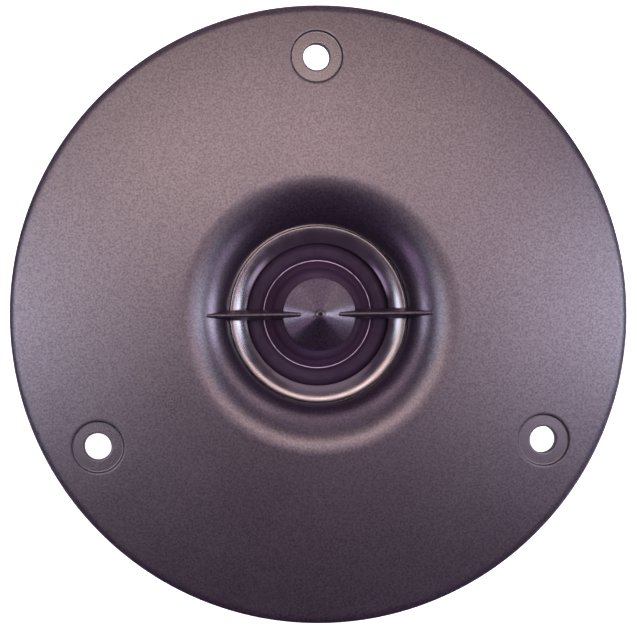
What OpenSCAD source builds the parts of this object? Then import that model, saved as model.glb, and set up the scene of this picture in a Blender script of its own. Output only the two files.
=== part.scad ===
// Car tweeter: a dome tweeter with a round mounting plate, a short horn and a
// phase plug on two ribs. The origin is the centre of the bolt circle on the
// back face of the mounting plate. +Z is the axis, towards the listener, and +Y
// points at the upper mounting hole. All sizes are in millimetres.

/* [Mounting plate] */
// Outer diameter of the mounting plate
plate_d = 104; // [100:0.5:112]
// Thickness of the mounting plate at its rim
plate_t = 4; // [3.5:0.1:5]
// Radius of the rounded front edge
plate_edge_r = 1.3; // [0.5:0.1:2]
// Diameter of the bolt circle
bolt_circle_d = 86.8; // [84:0.1:89]
// Number of mounting holes
bolt_count = 3; // [3:1:4]
// Diameter of a mounting hole
bolt_hole_d = 4.5; // [3.5:0.1:5]
// Diameter of the counterbore for a screw head
counterbore_d = 8.7; // [7.5:0.1:10]
// Depth of the counterbore
counterbore_depth = 0.9; // [0.5:0.1:1.5]

/* [Horn flare] */
// Diameter of the flare where it meets the front face
mouth_d = 48; // [46:0.5:52]
// Diameter of the flare at the throat
throat_d = 30.8; // [30.7:0.05:31]
// Depth of the flare behind the front face
flare_depth = 6; // [5.8:0.1:6.2]
// Wall thickness of the flare
flare_wall = 2.2; // [1.8:0.1:2.6]

/* [Phase plug and ribs] */
// Diameter of the plug at its edge
plug_d = 12.3; // [11:0.1:13]
// Height of the plug's tip above the back face of the plate
plug_tip_z = 4.6; // [4:0.1:5.5]
// Height of the plug's edge above the back face of the plate
plug_edge_z = 0.9; // [0.5:0.1:1.3]
// Thickness of a rib at its foot
rib_t = 1.7; // [1.4:0.1:2]
// Thickness of a rib at its top
rib_top_t = 0.7; // [0.5:0.1:1]
// Height of the ribs' top above the back face of the plate
rib_top_z = 3; // [2.6:0.1:3.2]

/* [Drum behind the plate] */
// Outer diameter of the drum that goes through the panel
drum_d = 64; // [63:0.5:68]
// Inner diameter of the drum
drum_inner_d = 56.8; // [56:0.1:57.5]

/* [Diaphragm and voice coil] */
// Diameter of the crease between dome and surround
coil_d = 18.6; // [18.4:0.05:18.7]
// Height of the dome's tip above its crease
dome_h = 3; // [2.6:0.1:3.2]
// Thickness of the film
film_t = 0.3; // [0.25:0.05:0.35]
// Length of the voice coil former
former_l = 5.6; // [5:0.1:6]
// Length of the winding
winding_l = 2.8; // [2.4:0.1:3.2]

/* [Magnet system] */
// Outer diameter of the top plate
top_plate_d = 60; // [59.5:0.1:60]
// Thickness of the top plate
top_plate_t = 4; // [3.6:0.1:4.4]
// Outer diameter of the ring magnet
magnet_d = 45; // [44:0.1:45]
// Inner diameter of the ring magnet
magnet_inner_d = 22; // [21:0.1:24]
// Thickness of the ring magnet
magnet_t = 8; // [8:0.1:10]
// Outer diameter of the back plate
back_plate_d = 43; // [40:0.1:44]
// Thickness of the back plate
back_plate_t = 4; // [3:0.1:5]
// Diameter of the pole piece
pole_d = 17.4; // [17.3:0.05:17.5]
// Width of the magnetic gap, from pole to top plate
gap_w = 1.3; // [1.2:0.05:1.4]

/* [Terminals] */
// Width of the wide blade
wide_blade_w = 4.8; // [4.7:0.1:4.8]
// Width of the narrow blade
narrow_blade_w = 2.8; // [2.7:0.1:2.9]
// Thickness of both blades
blade_t = 0.8; // [0.7:0.05:0.8]
// Length of both blades behind the terminal board
blade_l = 8; // [6:0.1:9]

/* [Hidden] */
$fn = 96;
// Steps along a curved profile
curve_steps = 28;
// Small overlap that makes cuts and joins clean
eps = 0.02;

plate_r = plate_d / 2;
mouth_r = mouth_d / 2;
throat_r = throat_d / 2;
throat_z = plate_t - flare_depth;
drum_r = drum_d / 2;
drum_inner_r = drum_inner_d / 2;

// Front moulding
seat_depth = 1.7;
drum_lip = 1.5;
back_offset = 1;
wall_step = 0.4;
plug_tip_r = 2.2;
plug_rim = 0.3;
plug_rim_taper = 0.5;
plug_hollow_r = 3;
plug_hollow_rise = 0.6;
plug_wall = 1.9;
dimple_r = 0.3;
dimple_depth = 0.5;
rib_depth = 1.2;
rib_start = 2;
rib_bite = 0.5;

// Stack behind the flare, front to back
seal_t = 0.4;
ring_flange_t = 1.3;
spacer_t = 1.3;
seal_top_z = throat_z - seat_depth;
ring_flange_top_z = seal_top_z - seal_t;
film_top_z = ring_flange_top_z - ring_flange_t;
spacer_top_z = film_top_z - film_t;
top_plate_z = spacer_top_z - spacer_t;
magnet_z = top_plate_z - top_plate_t;
back_plate_z = magnet_z - magnet_t;
base_z = back_plate_z - back_plate_t;

// Throat ring and its seat
ring_gap = 0.25;
ring_r = throat_r - ring_gap;
ring_top_z = throat_z - 0.3;
ring_edge_r = 0.25;
ring_roll_k = 0.142;
ring_roll_power = 1.75;
ring_lip_r = 12.15;
ring_lip_h = 0.3;
ring_bore_r = 12.3;
seal_clear = 0.4;
ring_flange_r = 18;
seat_clear = 0.1;
seat_wall = 1.8;
seat_r = ring_flange_r + seat_clear;

// Diaphragm and coil
coil_r = coil_d / 2;
surround_clamp_r = 17.5;
surround_h = 0.9;
bead_r = 7.15;
bead_w = 0.9;
bead_h = 0.35;
former_t = 0.25;
winding_t = 0.3;
former_top_z = film_top_z - film_t;
winding_z = top_plate_z - (top_plate_t + winding_l) / 2;
plate_bore_r = pole_d / 2 + gap_w;
bond_gap = 0.01;
spacer_step = 0.3;

// Pole and back plate
spigot_r = 6;
pole_chamfer = 0.5;
back_chamfer = 0.6;
pole_pad_r = 6.5;
pole_pad_t = 1.2;

// Wires
tail_r = 0.15;
tail_x = 1.2;
tail_z = film_top_z - 0.75;
tail_end_y = -14.2;
wire_r = 0.35;
wire_z = film_top_z - 0.7;
wire_start_y = -14.9;
wire_bend_y = -20.6;
slot_w = 6.4;
slot_floor = 0.5;
pad_r = 0.6;
pad_h = 0.6;
wire_proud = 0.05;

// Motor screws
screw_count = 3;
screw_circle_r = 26.3;
screw_shank_r = 1.4;
screw_play = 0.02;
screw_hole_r = 1.7;
screw_head_r = 2.6;
screw_face_r = 1.95;
screw_head_h = 1.8;
recess_l = 2.8;
recess_w = 0.6;
recess_depth = 1.1;
screw_depth = 5.4;
boss_r = 2.8;
boss_relief = 0.2;
boss_bore_depth = 6;

// Terminal board
board_t = 1.2;
board_w = 26;
board_y = -23.2;
board_depth = 4.9;
terminal_x = 4.2;
eyelet_y = -25.4;
eyelet_r = 0.9;
eyelet_bore_r = 0.42;
eyelet_lip_r = 1.4;
eyelet_lip_t = 0.25;
wire_hole_r = 2.2;
rivet_x = 10.4;
rivet_r = 1;
rivet_head_r = 1.7;
rivet_face_r = 1.02;
rivet_head_h = 0.8;
foot_z = magnet_z - board_t - blade_t;
foot_y = -23.8;
blade_y = -28.9;
board_corner = 1.5;
latch_hole_r = 0.7;
latch_hole_up = 3.2;
solder_r = 1.2;
solder_sink = 0.4;
cut = 1;

// Points of an arc of an ellipse in the profile plane, from angle a to angle b.
function arc(cx, cz, rx, rz, a, b, n = curve_steps) =
    [for (i = [0 : n]) let (t = a + (b - a) * i / n) [cx + rx * cos(t), cz + rz * sin(t)]];

// Height of the flare's surface at radius r.
function flare_z(r) =
    throat_z + flare_depth * sqrt(1 - pow((mouth_r - r) / (mouth_r - throat_r), 2));

// Radius at which the flare's surface stands at height z.
function flare_radius(z) =
    mouth_r - (mouth_r - throat_r) * sqrt(1 - pow((z - throat_z) / flare_depth, 2));

// Depth of the throat ring's roll at distance d inside its rim.
function roll_depth(d) = ring_roll_k * pow(d, ring_roll_power);

// Height of the dome's outer surface at radius r, on one sphere.
dome_sphere_r = (coil_r * coil_r + dome_h * dome_h) / (2 * dome_h);
function dome_z(r) =
    film_top_z + dome_h - dome_sphere_r + sqrt(dome_sphere_r * dome_sphere_r - r * r);

// A ring about Z from z to z + h.
module ring(r_in, r_out, z, h) {
    translate([0, 0, z]) difference() {
        cylinder(r = r_out, h = h);
        translate([0, 0, -eps]) cylinder(r = r_in, h = h + 2 * eps);
    }
}

// Children repeated at the angles of the upper hole and its neighbours.
module around(count, radius) {
    for (i = [0 : count - 1]) rotate(90 + i * 360 / count) translate([radius, 0, 0]) children();
}

// Half section of the flange, the flare, the seat and the drum.
module body_section() {
    lip_z = top_plate_z - drum_lip;
    lip_r = top_plate_d / 2 + seat_clear;
    wall_r = seat_r + seat_wall;
    polygon(concat(
        [[throat_r, seal_top_z]],
        arc(mouth_r, throat_z, mouth_r - throat_r, flare_depth, 180, 90),
        arc(plate_r - plate_edge_r, plate_t - plate_edge_r, plate_edge_r, plate_edge_r, 90, 0, 10),
        [
            [plate_r, 0],
            [drum_r, 0],
            [drum_r, lip_z],
            [lip_r, lip_z],
            [lip_r, top_plate_z],
            [drum_inner_r, top_plate_z],
            [drum_inner_r, plate_t - flare_wall],
            [mouth_r + back_offset, plate_t - flare_wall],
            [wall_r, flare_z(wall_r) - flare_wall - wall_step],
            [wall_r, top_plate_z],
            [seat_r, top_plate_z],
            [seat_r, seal_top_z]
        ]
    ));
}

// Half section of the plug: a cone with a round tip and a hollow underside. The
// side runs from the rim's upper edge and touches the tip's sphere.
module plug_section() {
    edge_r = plug_d / 2;
    upper_z = plug_edge_z + plug_rim / 2;
    lower_z = plug_edge_z - plug_rim / 2;
    rise = upper_z - plug_tip_z + plug_tip_r;
    slope = asin(plug_tip_r / norm([edge_r, rise])) - atan2(rise, edge_r);
    polygon(concat(
        [[0, plug_tip_z - plug_wall], [0, plug_tip_z - dimple_depth], [dimple_r, plug_tip_z - dimple_depth]],
        [for (i = [0 : 8]) let (t = 90 - asin(dimple_r / plug_tip_r) * (1 - i / 8) - slope * i / 8)
            [plug_tip_r * cos(t), plug_tip_z - plug_tip_r + plug_tip_r * sin(t)]],
        [
            [edge_r, upper_z],
            [edge_r, lower_z],
            [edge_r - plug_rim_taper, lower_z - plug_rim / 2],
            [plug_hollow_r, plug_edge_z + plug_hollow_rise]
        ]
    ));
}

// Outline of a rib across its length: narrow and round at the top, wide at the foot.
module rib_section() {
    top_r = rib_top_t / 2;
    foot_z = plug_edge_z - rib_depth;
    polygon(concat(
        [[-rib_t / 2, foot_z]],
        arc(0, rib_top_z - top_r, top_r, top_r, 180, 0, 10),
        [[rib_t / 2, foot_z]]
    ));
}

// Front moulding with its flare, plug, ribs, holes, seat and drum.
module faceplate() {
    rib_end = flare_radius(rib_top_z) + rib_bite;
    color([0.42, 0.37, 0.40]) difference() {
        union() {
            rotate_extrude() body_section();
            rotate_extrude() plug_section();
            for (side = [-90, 90]) rotate([90, 0, side]) translate([0, 0, rib_start])
                linear_extrude(height = rib_end - rib_start) rib_section();
            around(screw_count, screw_circle_r)
                translate([0, 0, top_plate_z + boss_relief])
                    cylinder(r = boss_r, h = plate_t - flare_wall - top_plate_z - boss_relief + eps);
        }
        around(bolt_count, bolt_circle_d / 2) {
            translate([0, 0, -cut]) cylinder(d = bolt_hole_d, h = plate_t + 2 * cut);
            translate([0, 0, plate_t - counterbore_depth])
                cylinder(d = counterbore_d, h = counterbore_depth + cut);
        }
        around(screw_count, screw_circle_r)
            translate([0, 0, top_plate_z - cut])
                cylinder(r = screw_shank_r + screw_play, h = boss_bore_depth + cut);
        translate([-slot_w / 2, -seat_r - seat_wall - cut, top_plate_z - cut])
            cube([slot_w, seat_wall + 2 * cut, spacer_t + film_t + cut]);
    }
}

// Foam ring that seals the throat ring against the faceplate.
module throat_seal() {
    color([0.16, 0.15, 0.17]) ring(ring_r + seal_clear, ring_flange_r, ring_flange_top_z, seal_t);
}

// Glossy ring that rolls in from its rim to a thin lip, and clamps the surround.
module throat_ring() {
    rim_r = ring_r - ring_edge_r;
    roll_w = rim_r - ring_lip_r;
    lip_z = ring_top_z - roll_depth(roll_w);
    color([0.2, 0.17, 0.2]) rotate_extrude() polygon(concat(
        [
            [ring_bore_r, film_top_z],
            [ring_bore_r, lip_z - 2 * ring_lip_h],
            [ring_lip_r, lip_z - ring_lip_h]
        ],
        [for (i = [0 : 16]) let (d = roll_w * (1 - i / 16)) [rim_r - d, ring_top_z - roll_depth(d)]],
        arc(rim_r, ring_top_z - ring_edge_r, ring_edge_r, ring_edge_r, 90, 0, 6),
        [
            [ring_r, ring_flange_top_z],
            [ring_flange_r, ring_flange_top_z],
            [ring_flange_r, film_top_z]
        ]
    ));
}

// Soft half-roll from the clamped rim to the crease at the dome.
module surround() {
    roll_r = (ring_bore_r - coil_r) / 2;
    roll_mid = (ring_bore_r + coil_r) / 2;
    color([0.2, 0.13, 0.2]) rotate_extrude() polygon(concat(
        arc(roll_mid, spacer_top_z, roll_r, surround_h, 180, 0),
        [[surround_clamp_r, spacer_top_z]],
        [[surround_clamp_r, film_top_z]],
        arc(roll_mid, film_top_z, roll_r, surround_h, 0, 180)
    ));
}

// Film dome with a formed bead, carried by the former.
module dome() {
    color([0.24, 0.17, 0.24]) rotate_extrude() polygon(concat(
        [for (i = [0 : curve_steps]) let (r = coil_r * i / curve_steps)
            [r, dome_z(r) + bead_h * max(0, 1 - pow((r - bead_r) / bead_w, 2))]],
        [for (i = [curve_steps : -1 : 0]) let (r = coil_r * i / curve_steps)
            [r, dome_z(r) - film_t]]
    ));
}

// Thin tube that carries the winding and is bonded under the dome.
module voice_coil_former() {
    color([0.78, 0.62, 0.3])
        ring(coil_r - former_t, coil_r, former_top_z - former_l, former_l);
}

// Copper winding, one solid for the layer of turns.
module voice_coil_winding() {
    color([0.72, 0.42, 0.22]) ring(coil_r, coil_r + winding_t, winding_z, winding_l);
}

// Fine wire from the winding up the former and out to its solder pad.
module coil_tail(side) {
    y = -sqrt(pow(coil_r + tail_r + bond_gap, 2) - pow(tail_x, 2));
    x = side * tail_x;
    color([0.75, 0.45, 0.25]) {
        translate([x, y, winding_z + winding_l]) cylinder(r = tail_r, h = tail_z - winding_z - winding_l);
        translate([x, y, tail_z]) sphere(r = tail_r);
        translate([x, y, tail_z]) rotate([90, 0, 0]) cylinder(r = tail_r, h = y - tail_end_y);
    }
}
module coil_tail_left() { coil_tail(-1); }
module coil_tail_right() { coil_tail(1); }

// Spacer that carries the surround, with a slot where the wires leave.
module diaphragm_ring() {
    color([0.72, 0.66, 0.5]) difference() {
        ring(ring_bore_r + spacer_step, ring_flange_r, top_plate_z, spacer_t);
        translate([-slot_w / 2, -ring_flange_r - cut, top_plate_z + slot_floor])
            cube([slot_w, ring_flange_r - ring_bore_r + 2 * cut, spacer_t]);
    }
}

// Solder between the fine tails and the lead wires.
module solder_pads() {
    color([0.7, 0.7, 0.72]) for (side = [-1, 1]) difference() {
        translate([side * tail_x, (tail_end_y + wire_start_y) / 2, top_plate_z + slot_floor])
            cylinder(r = pad_r, h = pad_h);
        translate([side * tail_x, tail_end_y, tail_z]) rotate([-90, 0, 0]) cylinder(r = tail_r, h = cut);
        translate([side * tail_x, wire_start_y, wire_z]) rotate([90, 0, 0]) cylinder(r = wire_r, h = cut);
    }
}

// Insulated wire along the slot, across the drum and down to its eyelet.
module lead_wire(side) {
    x0 = side * tail_x;
    x1 = side * terminal_x;
    route = [
        [x0, wire_start_y - wire_r, wire_z],
        [x0, wire_bend_y, wire_z],
        [x1, eyelet_y, wire_z],
        [x1, eyelet_y, foot_z - wire_proud]
    ];
    for (i = [0 : len(route) - 2]) hull() {
        translate(route[i]) sphere(r = wire_r, $fn = 12);
        translate(route[i + 1]) sphere(r = wire_r, $fn = 12);
    }
}
module lead_wire_left() { color([0.08, 0.08, 0.09]) lead_wire(-1); }
module lead_wire_right() { color([0.62, 0.08, 0.08]) lead_wire(1); }

// Steel plate with the gap bore, the screw holes and the wire holes.
module top_plate() {
    color([0.62, 0.6, 0.55]) difference() {
        translate([0, 0, magnet_z]) cylinder(d = top_plate_d, h = top_plate_t);
        translate([0, 0, magnet_z - cut]) cylinder(r = plate_bore_r, h = top_plate_t + 2 * cut);
        around(screw_count, screw_circle_r)
            translate([0, 0, magnet_z - cut]) cylinder(r = screw_hole_r, h = top_plate_t + 2 * cut);
        for (side = [-1, 1]) {
            translate([side * terminal_x, eyelet_y, magnet_z - cut])
                cylinder(r = wire_hole_r, h = top_plate_t + 2 * cut);
            translate([side * rivet_x, eyelet_y, magnet_z - cut])
                cylinder(r = rivet_r, h = top_plate_t);
        }
    }
}

// Ferrite ring magnet.
module magnet() {
    color([0.2, 0.2, 0.22]) ring(magnet_inner_d / 2, magnet_d / 2, back_plate_z, magnet_t);
}

// Steel plate behind the magnet, with a chamfered rim and the pole's seat.
module back_plate() {
    r = back_plate_d / 2;
    color([0.62, 0.6, 0.55]) rotate_extrude() polygon([
        [spigot_r, base_z], [r - back_chamfer, base_z], [r, base_z + back_chamfer],
        [r, back_plate_z], [spigot_r, back_plate_z]
    ]);
}

// Steel pole with a spigot that is pressed into the back plate.
module pole_piece() {
    r = pole_d / 2;
    color([0.62, 0.6, 0.55]) rotate_extrude() polygon([
        [0, base_z], [spigot_r, base_z], [spigot_r, back_plate_z], [r, back_plate_z],
        [r, top_plate_z - pole_chamfer], [r - pole_chamfer, top_plate_z], [0, top_plate_z]
    ]);
}

// Felt pad on the pole, under the dome.
module pole_pad() {
    color([0.35, 0.34, 0.36]) translate([0, 0, top_plate_z]) cylinder(r = pole_pad_r, h = pole_pad_t);
}

// Insulating board riveted under the rim of the top plate.
module terminal_board() {
    corner = board_corner;
    color([0.45, 0.3, 0.16]) difference() {
        translate([0, board_y - board_depth / 2, magnet_z - board_t]) {
            translate([-board_w / 2 + corner, -board_depth / 2, 0])
                cube([board_w - 2 * corner, board_depth, board_t]);
            translate([-board_w / 2, -board_depth / 2 + corner, 0])
                cube([board_w, board_depth - 2 * corner, board_t]);
            for (x = [-1, 1], y = [-1, 1])
                translate([x * (board_w / 2 - corner), y * (board_depth / 2 - corner), 0])
                    cylinder(r = corner, h = board_t);
        }
        for (side = [-1, 1]) {
            translate([side * terminal_x, eyelet_y, magnet_z - board_t - cut])
                cylinder(r = eyelet_r, h = board_t + 2 * cut);
            translate([side * rivet_x, eyelet_y, magnet_z - board_t - cut])
                cylinder(r = rivet_r, h = board_t + 2 * cut);
        }
    }
}

// Bent terminal: a foot under the board and a blade that points backwards.
module terminal(side, width) {
    color([0.78, 0.77, 0.74]) difference() {
        union() {
            translate([side * terminal_x - width / 2, blade_y, foot_z])
                cube([width, foot_y - blade_y, blade_t]);
            translate([side * terminal_x - width / 2, blade_y, foot_z - blade_l])
                cube([width, blade_t, blade_l + eps]);
        }
        translate([side * terminal_x, eyelet_y, foot_z - cut]) cylinder(r = eyelet_r, h = blade_t + 2 * cut);
        translate([side * terminal_x, blade_y - cut, foot_z - blade_l + latch_hole_up])
            rotate([-90, 0, 0]) cylinder(r = latch_hole_r, h = blade_t + 2 * cut);
    }
}
module terminal_positive() { terminal(1, wide_blade_w); }
module terminal_negative() { terminal(-1, narrow_blade_w); }

// Rolled eyelets that hold the terminals on the board.
module terminal_eyelets() {
    color([0.75, 0.66, 0.4]) for (side = [-1, 1]) translate([side * terminal_x, eyelet_y, 0]) {
        ring(eyelet_bore_r, eyelet_r, foot_z, board_t + blade_t);
        ring(eyelet_bore_r, eyelet_lip_r, magnet_z, eyelet_lip_t);
        ring(eyelet_bore_r, eyelet_lip_r, foot_z - eyelet_lip_t, eyelet_lip_t);
    }
}

// Solder domes over the wire ends.
module terminal_solder() {
    color([0.7, 0.7, 0.72]) for (side = [-1, 1])
        translate([side * terminal_x, eyelet_y, foot_z - eyelet_lip_t]) difference() {
            intersection() {
                translate([0, 0, solder_sink]) sphere(r = solder_r);
                translate([0, 0, -solder_r]) cylinder(r = 2 * solder_r, h = solder_r);
            }
            translate([0, 0, eyelet_lip_t - solder_sink]) cylinder(r = wire_r, h = solder_r);
        }
}

// Rivets that hold the board on the top plate.
module board_rivets() {
    color([0.7, 0.7, 0.72]) for (side = [-1, 1])
        translate([side * rivet_x, eyelet_y, magnet_z - board_t]) {
            cylinder(r = rivet_r, h = board_t + top_plate_t - cut);
            translate([0, 0, -rivet_head_h]) cylinder(r1 = rivet_face_r, r2 = rivet_head_r, h = rivet_head_h);
        }
}

// Screws from the back through the top plate into the drum's bosses.
module motor_screws() {
    color([0.75, 0.74, 0.7]) around(screw_count, screw_circle_r) difference() {
        union() {
            translate([0, 0, magnet_z - eps]) cylinder(r = screw_shank_r, h = top_plate_t + screw_depth);
            translate([0, 0, magnet_z - screw_head_h])
                cylinder(r1 = screw_face_r, r2 = screw_head_r, h = screw_head_h);
        }
        for (a = [0, 90]) rotate(a)
            translate([-recess_l / 2, -recess_w / 2, magnet_z - screw_head_h - cut])
                cube([recess_l, recess_w, recess_depth + cut]);
    }
}

faceplate();
throat_seal();
throat_ring();
surround();
dome();
voice_coil_former();
voice_coil_winding();
coil_tail_left();
coil_tail_right();
diaphragm_ring();
solder_pads();
lead_wire_left();
lead_wire_right();
top_plate();
magnet();
back_plate();
pole_piece();
pole_pad();
terminal_board();
terminal_positive();
terminal_negative();
terminal_eyelets();
terminal_solder();
board_rivets();
motor_screws();
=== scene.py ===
"""Car tweeter: the looks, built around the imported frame.

A round plate carries a short horn with a plug on two ribs. Behind the horn lie a
glossy throat ring, a film dome on its coil, and a ring-magnet motor with two
terminal blades. Sizes are in millimetres and become metres as a mesh is made.
"""
import logging
import math
from dataclasses import dataclass, field
from enum import Enum

import bmesh
import bpy
import numpy as np
from mathutils import Matrix, Vector


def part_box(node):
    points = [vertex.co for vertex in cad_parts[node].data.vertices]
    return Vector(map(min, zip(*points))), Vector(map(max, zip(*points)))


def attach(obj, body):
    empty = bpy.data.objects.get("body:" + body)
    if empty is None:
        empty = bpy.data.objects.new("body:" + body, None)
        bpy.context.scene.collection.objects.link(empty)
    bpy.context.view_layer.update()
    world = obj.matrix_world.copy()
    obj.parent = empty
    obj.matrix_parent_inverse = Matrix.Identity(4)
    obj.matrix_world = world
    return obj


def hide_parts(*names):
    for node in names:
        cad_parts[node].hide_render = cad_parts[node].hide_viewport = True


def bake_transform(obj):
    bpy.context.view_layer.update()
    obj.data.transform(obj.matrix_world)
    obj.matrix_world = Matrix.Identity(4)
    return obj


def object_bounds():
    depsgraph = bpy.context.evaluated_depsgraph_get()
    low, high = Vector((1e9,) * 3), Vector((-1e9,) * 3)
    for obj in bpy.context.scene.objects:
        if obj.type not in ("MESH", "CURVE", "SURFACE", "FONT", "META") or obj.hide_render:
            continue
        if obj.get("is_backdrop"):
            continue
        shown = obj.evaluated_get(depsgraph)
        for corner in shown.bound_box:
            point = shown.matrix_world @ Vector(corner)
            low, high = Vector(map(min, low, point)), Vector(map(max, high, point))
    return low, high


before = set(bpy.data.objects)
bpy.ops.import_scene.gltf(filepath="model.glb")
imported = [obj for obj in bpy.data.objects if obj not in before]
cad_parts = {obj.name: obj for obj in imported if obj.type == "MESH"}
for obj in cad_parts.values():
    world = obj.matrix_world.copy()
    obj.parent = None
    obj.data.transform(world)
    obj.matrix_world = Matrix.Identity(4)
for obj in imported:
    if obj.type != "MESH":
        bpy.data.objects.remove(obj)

LOG = logging.getLogger("tweeter")
MM = 0.001
TURN = 2.0 * math.pi
FLAT = (1.0, 1.0, 0.0)
SOLDER = ("solder_tin", (0.55, 0.55, 0.57), (0.38, 0.38, 0.40), 0.28, 0.5, 0.6, 0.01)

Array = np.ndarray
Corner = tuple[float, float, float]
Colour = tuple[float, float, float]
Pair = tuple[float, float]
Spot = tuple[float, float, float]


class Body(Enum):
    """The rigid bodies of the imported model."""

    CHASSIS = "chassis"
    COIL = "moving_coil"


class Side(Enum):
    """Left and right halves of a pair, as signs along X."""

    LEFT = -1
    RIGHT = 1


# ---------------------------------------------------------------- outlines and grids


def outline(corners: list[Corner], steps: int = 5) -> Array:
    """Open outline with rounded corners.

    At a corner P with unit sides u and v, the arc of radius q touches both sides at
    q / tan(half angle) from P. Its points run evenly from one touching vector to the
    other: (sin((1 - k) w) s + sin(k w) e) / sin w, with w the angle between them.

    Args:
        corners: (radius, height, corner radius) of each corner, in order.
        steps: Steps of each arc.

    Returns:
        Points of the outline as rows of (radius, height).
    """
    at = np.array([c[:2] for c in corners], float)
    parts = [at[:1]]
    for before, here, after, (_, _, q) in zip(at, at[1:], at[2:], corners[1:]):
        u, v = (d / np.linalg.norm(d) for d in (before - here, after - here))
        half = math.acos(np.clip(u @ v, -1.0, 1.0)) / 2.0
        if q <= 0.0 or half > math.pi / 2.0 - 1e-4:
            parts.append(here[None])
            continue
        centre = here + (u + v) / np.linalg.norm(u + v) * q / math.sin(half)
        s, e = (here + d * q / math.tan(half) - centre for d in (u, v))
        w = math.pi - 2.0 * half
        k = np.linspace(0.0, 1.0, steps + 1)[:, None]
        parts.append(centre + (np.sin((1 - k) * w) * s + np.sin(k * w) * e) / math.sin(w))
    return np.vstack([*parts, at[-1:]])


def ellipse(centre: Pair, radii: Pair, span: Pair, steps: int) -> Array:
    """Arc of an ellipse: centre + (a cos t, b sin t), with t in degrees over the span.

    Args:
        centre: Centre as (radius, height).
        radii: Half axes a and b.
        span: First and last t.
        steps: Steps of the arc.

    Returns:
        Points as rows of (radius, height).
    """
    t = np.radians(np.linspace(*span, steps + 1))
    return np.column_stack([centre[0] + radii[0] * np.cos(t), centre[1] + radii[1] * np.sin(t)])


def revolve(profile: Array, columns: int = 144, centre: Pair = (0.0, 0.0)) -> Array:
    """Profile turned about an axis along Z: (r cos a, r sin a, z) for each angle a.

    Args:
        profile: Rows of (radius, height).
        columns: Number of angles in the full turn.
        centre: Where the axis stands in X and Y.

    Returns:
        Grid of points, profile by angle.
    """
    a = np.arange(columns) * TURN / columns
    r, z = profile[:, :1], profile[:, 1:]
    return np.stack([centre[0] + r * np.cos(a), centre[1] + r * np.sin(a), z + 0.0 * a], axis=-1)


def open_ring(section: Array, gap: float) -> Array:
    """Section turned about Z but for a gap at -Y: (r cos a, r sin a, z) at each angle a.

    Args:
        section: Rows of (radius, height).
        gap: Half the angle left out, in radians.

    Returns:
        Grid of points, angle by section.
    """
    a = np.linspace(-TURN / 4 + gap, TURN * 3 / 4 - gap, 181)[:, None]
    r, z = section[None, :, 0], section[None, :, 1]
    return np.stack([r * np.cos(a), r * np.sin(a), z + 0.0 * a], axis=-1)


def along(path: Array, section: Array) -> Array:
    """Section carried along a path: each point is path + side x + lift y.

    The tangent t is the path's gradient, side is the unit of t cross a fixed
    direction that the path never follows, and lift is side cross t.

    Args:
        path: Rows of points in space.
        section: Rows of (side, lift).

    Returns:
        Grid of points, path by section.
    """
    t = np.gradient(path, axis=0)
    t /= np.linalg.norm(t, axis=1, keepdims=True)
    spread = np.ptp(path, axis=0)
    fixed = np.eye(3)[int(np.argmin(spread))]
    side = np.cross(t, fixed)
    side /= np.linalg.norm(side, axis=1, keepdims=True)
    lift = np.cross(side, t)
    return path[:, None] + section[None, :, :1] * side[:, None] + section[None, :, 1:] * lift[:, None]


def circle(radius: float, columns: int = 16) -> Array:
    """Closed round section of that radius, as rows of (side, lift).

    Args:
        radius: Radius of the section.
        columns: Number of points.

    Returns:
        The points of the section.
    """
    a = np.arange(columns) * TURN / columns
    return radius * np.column_stack([np.cos(a), np.sin(a)])


def bent_path(points: list[Spot], radius: float, steps: int = 6) -> Array:
    """Route through points in space with its corners rounded.

    Near a corner P the route is the curve (1 - k)^2 A + 2 k (1 - k) P + k^2 B, from A
    to B on the two sides at the given distance from P.

    Args:
        points: The route's corners.
        radius: How far from a corner its curve starts.
        steps: Steps of each curve.

    Returns:
        Rows of points in space.
    """
    at = np.array(points, float)
    k = np.linspace(0.0, 1.0, steps + 1)[:, None]
    parts = [at[:1]]
    for before, here, after in zip(at, at[1:], at[2:]):
        a, b = (here + radius * (p - here) / np.linalg.norm(p - here) for p in (before, after))
        parts.append((1 - k) ** 2 * a + 2 * k * (1 - k) * here + k**2 * b)
    return np.vstack([*parts, at[-1:]])


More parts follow.
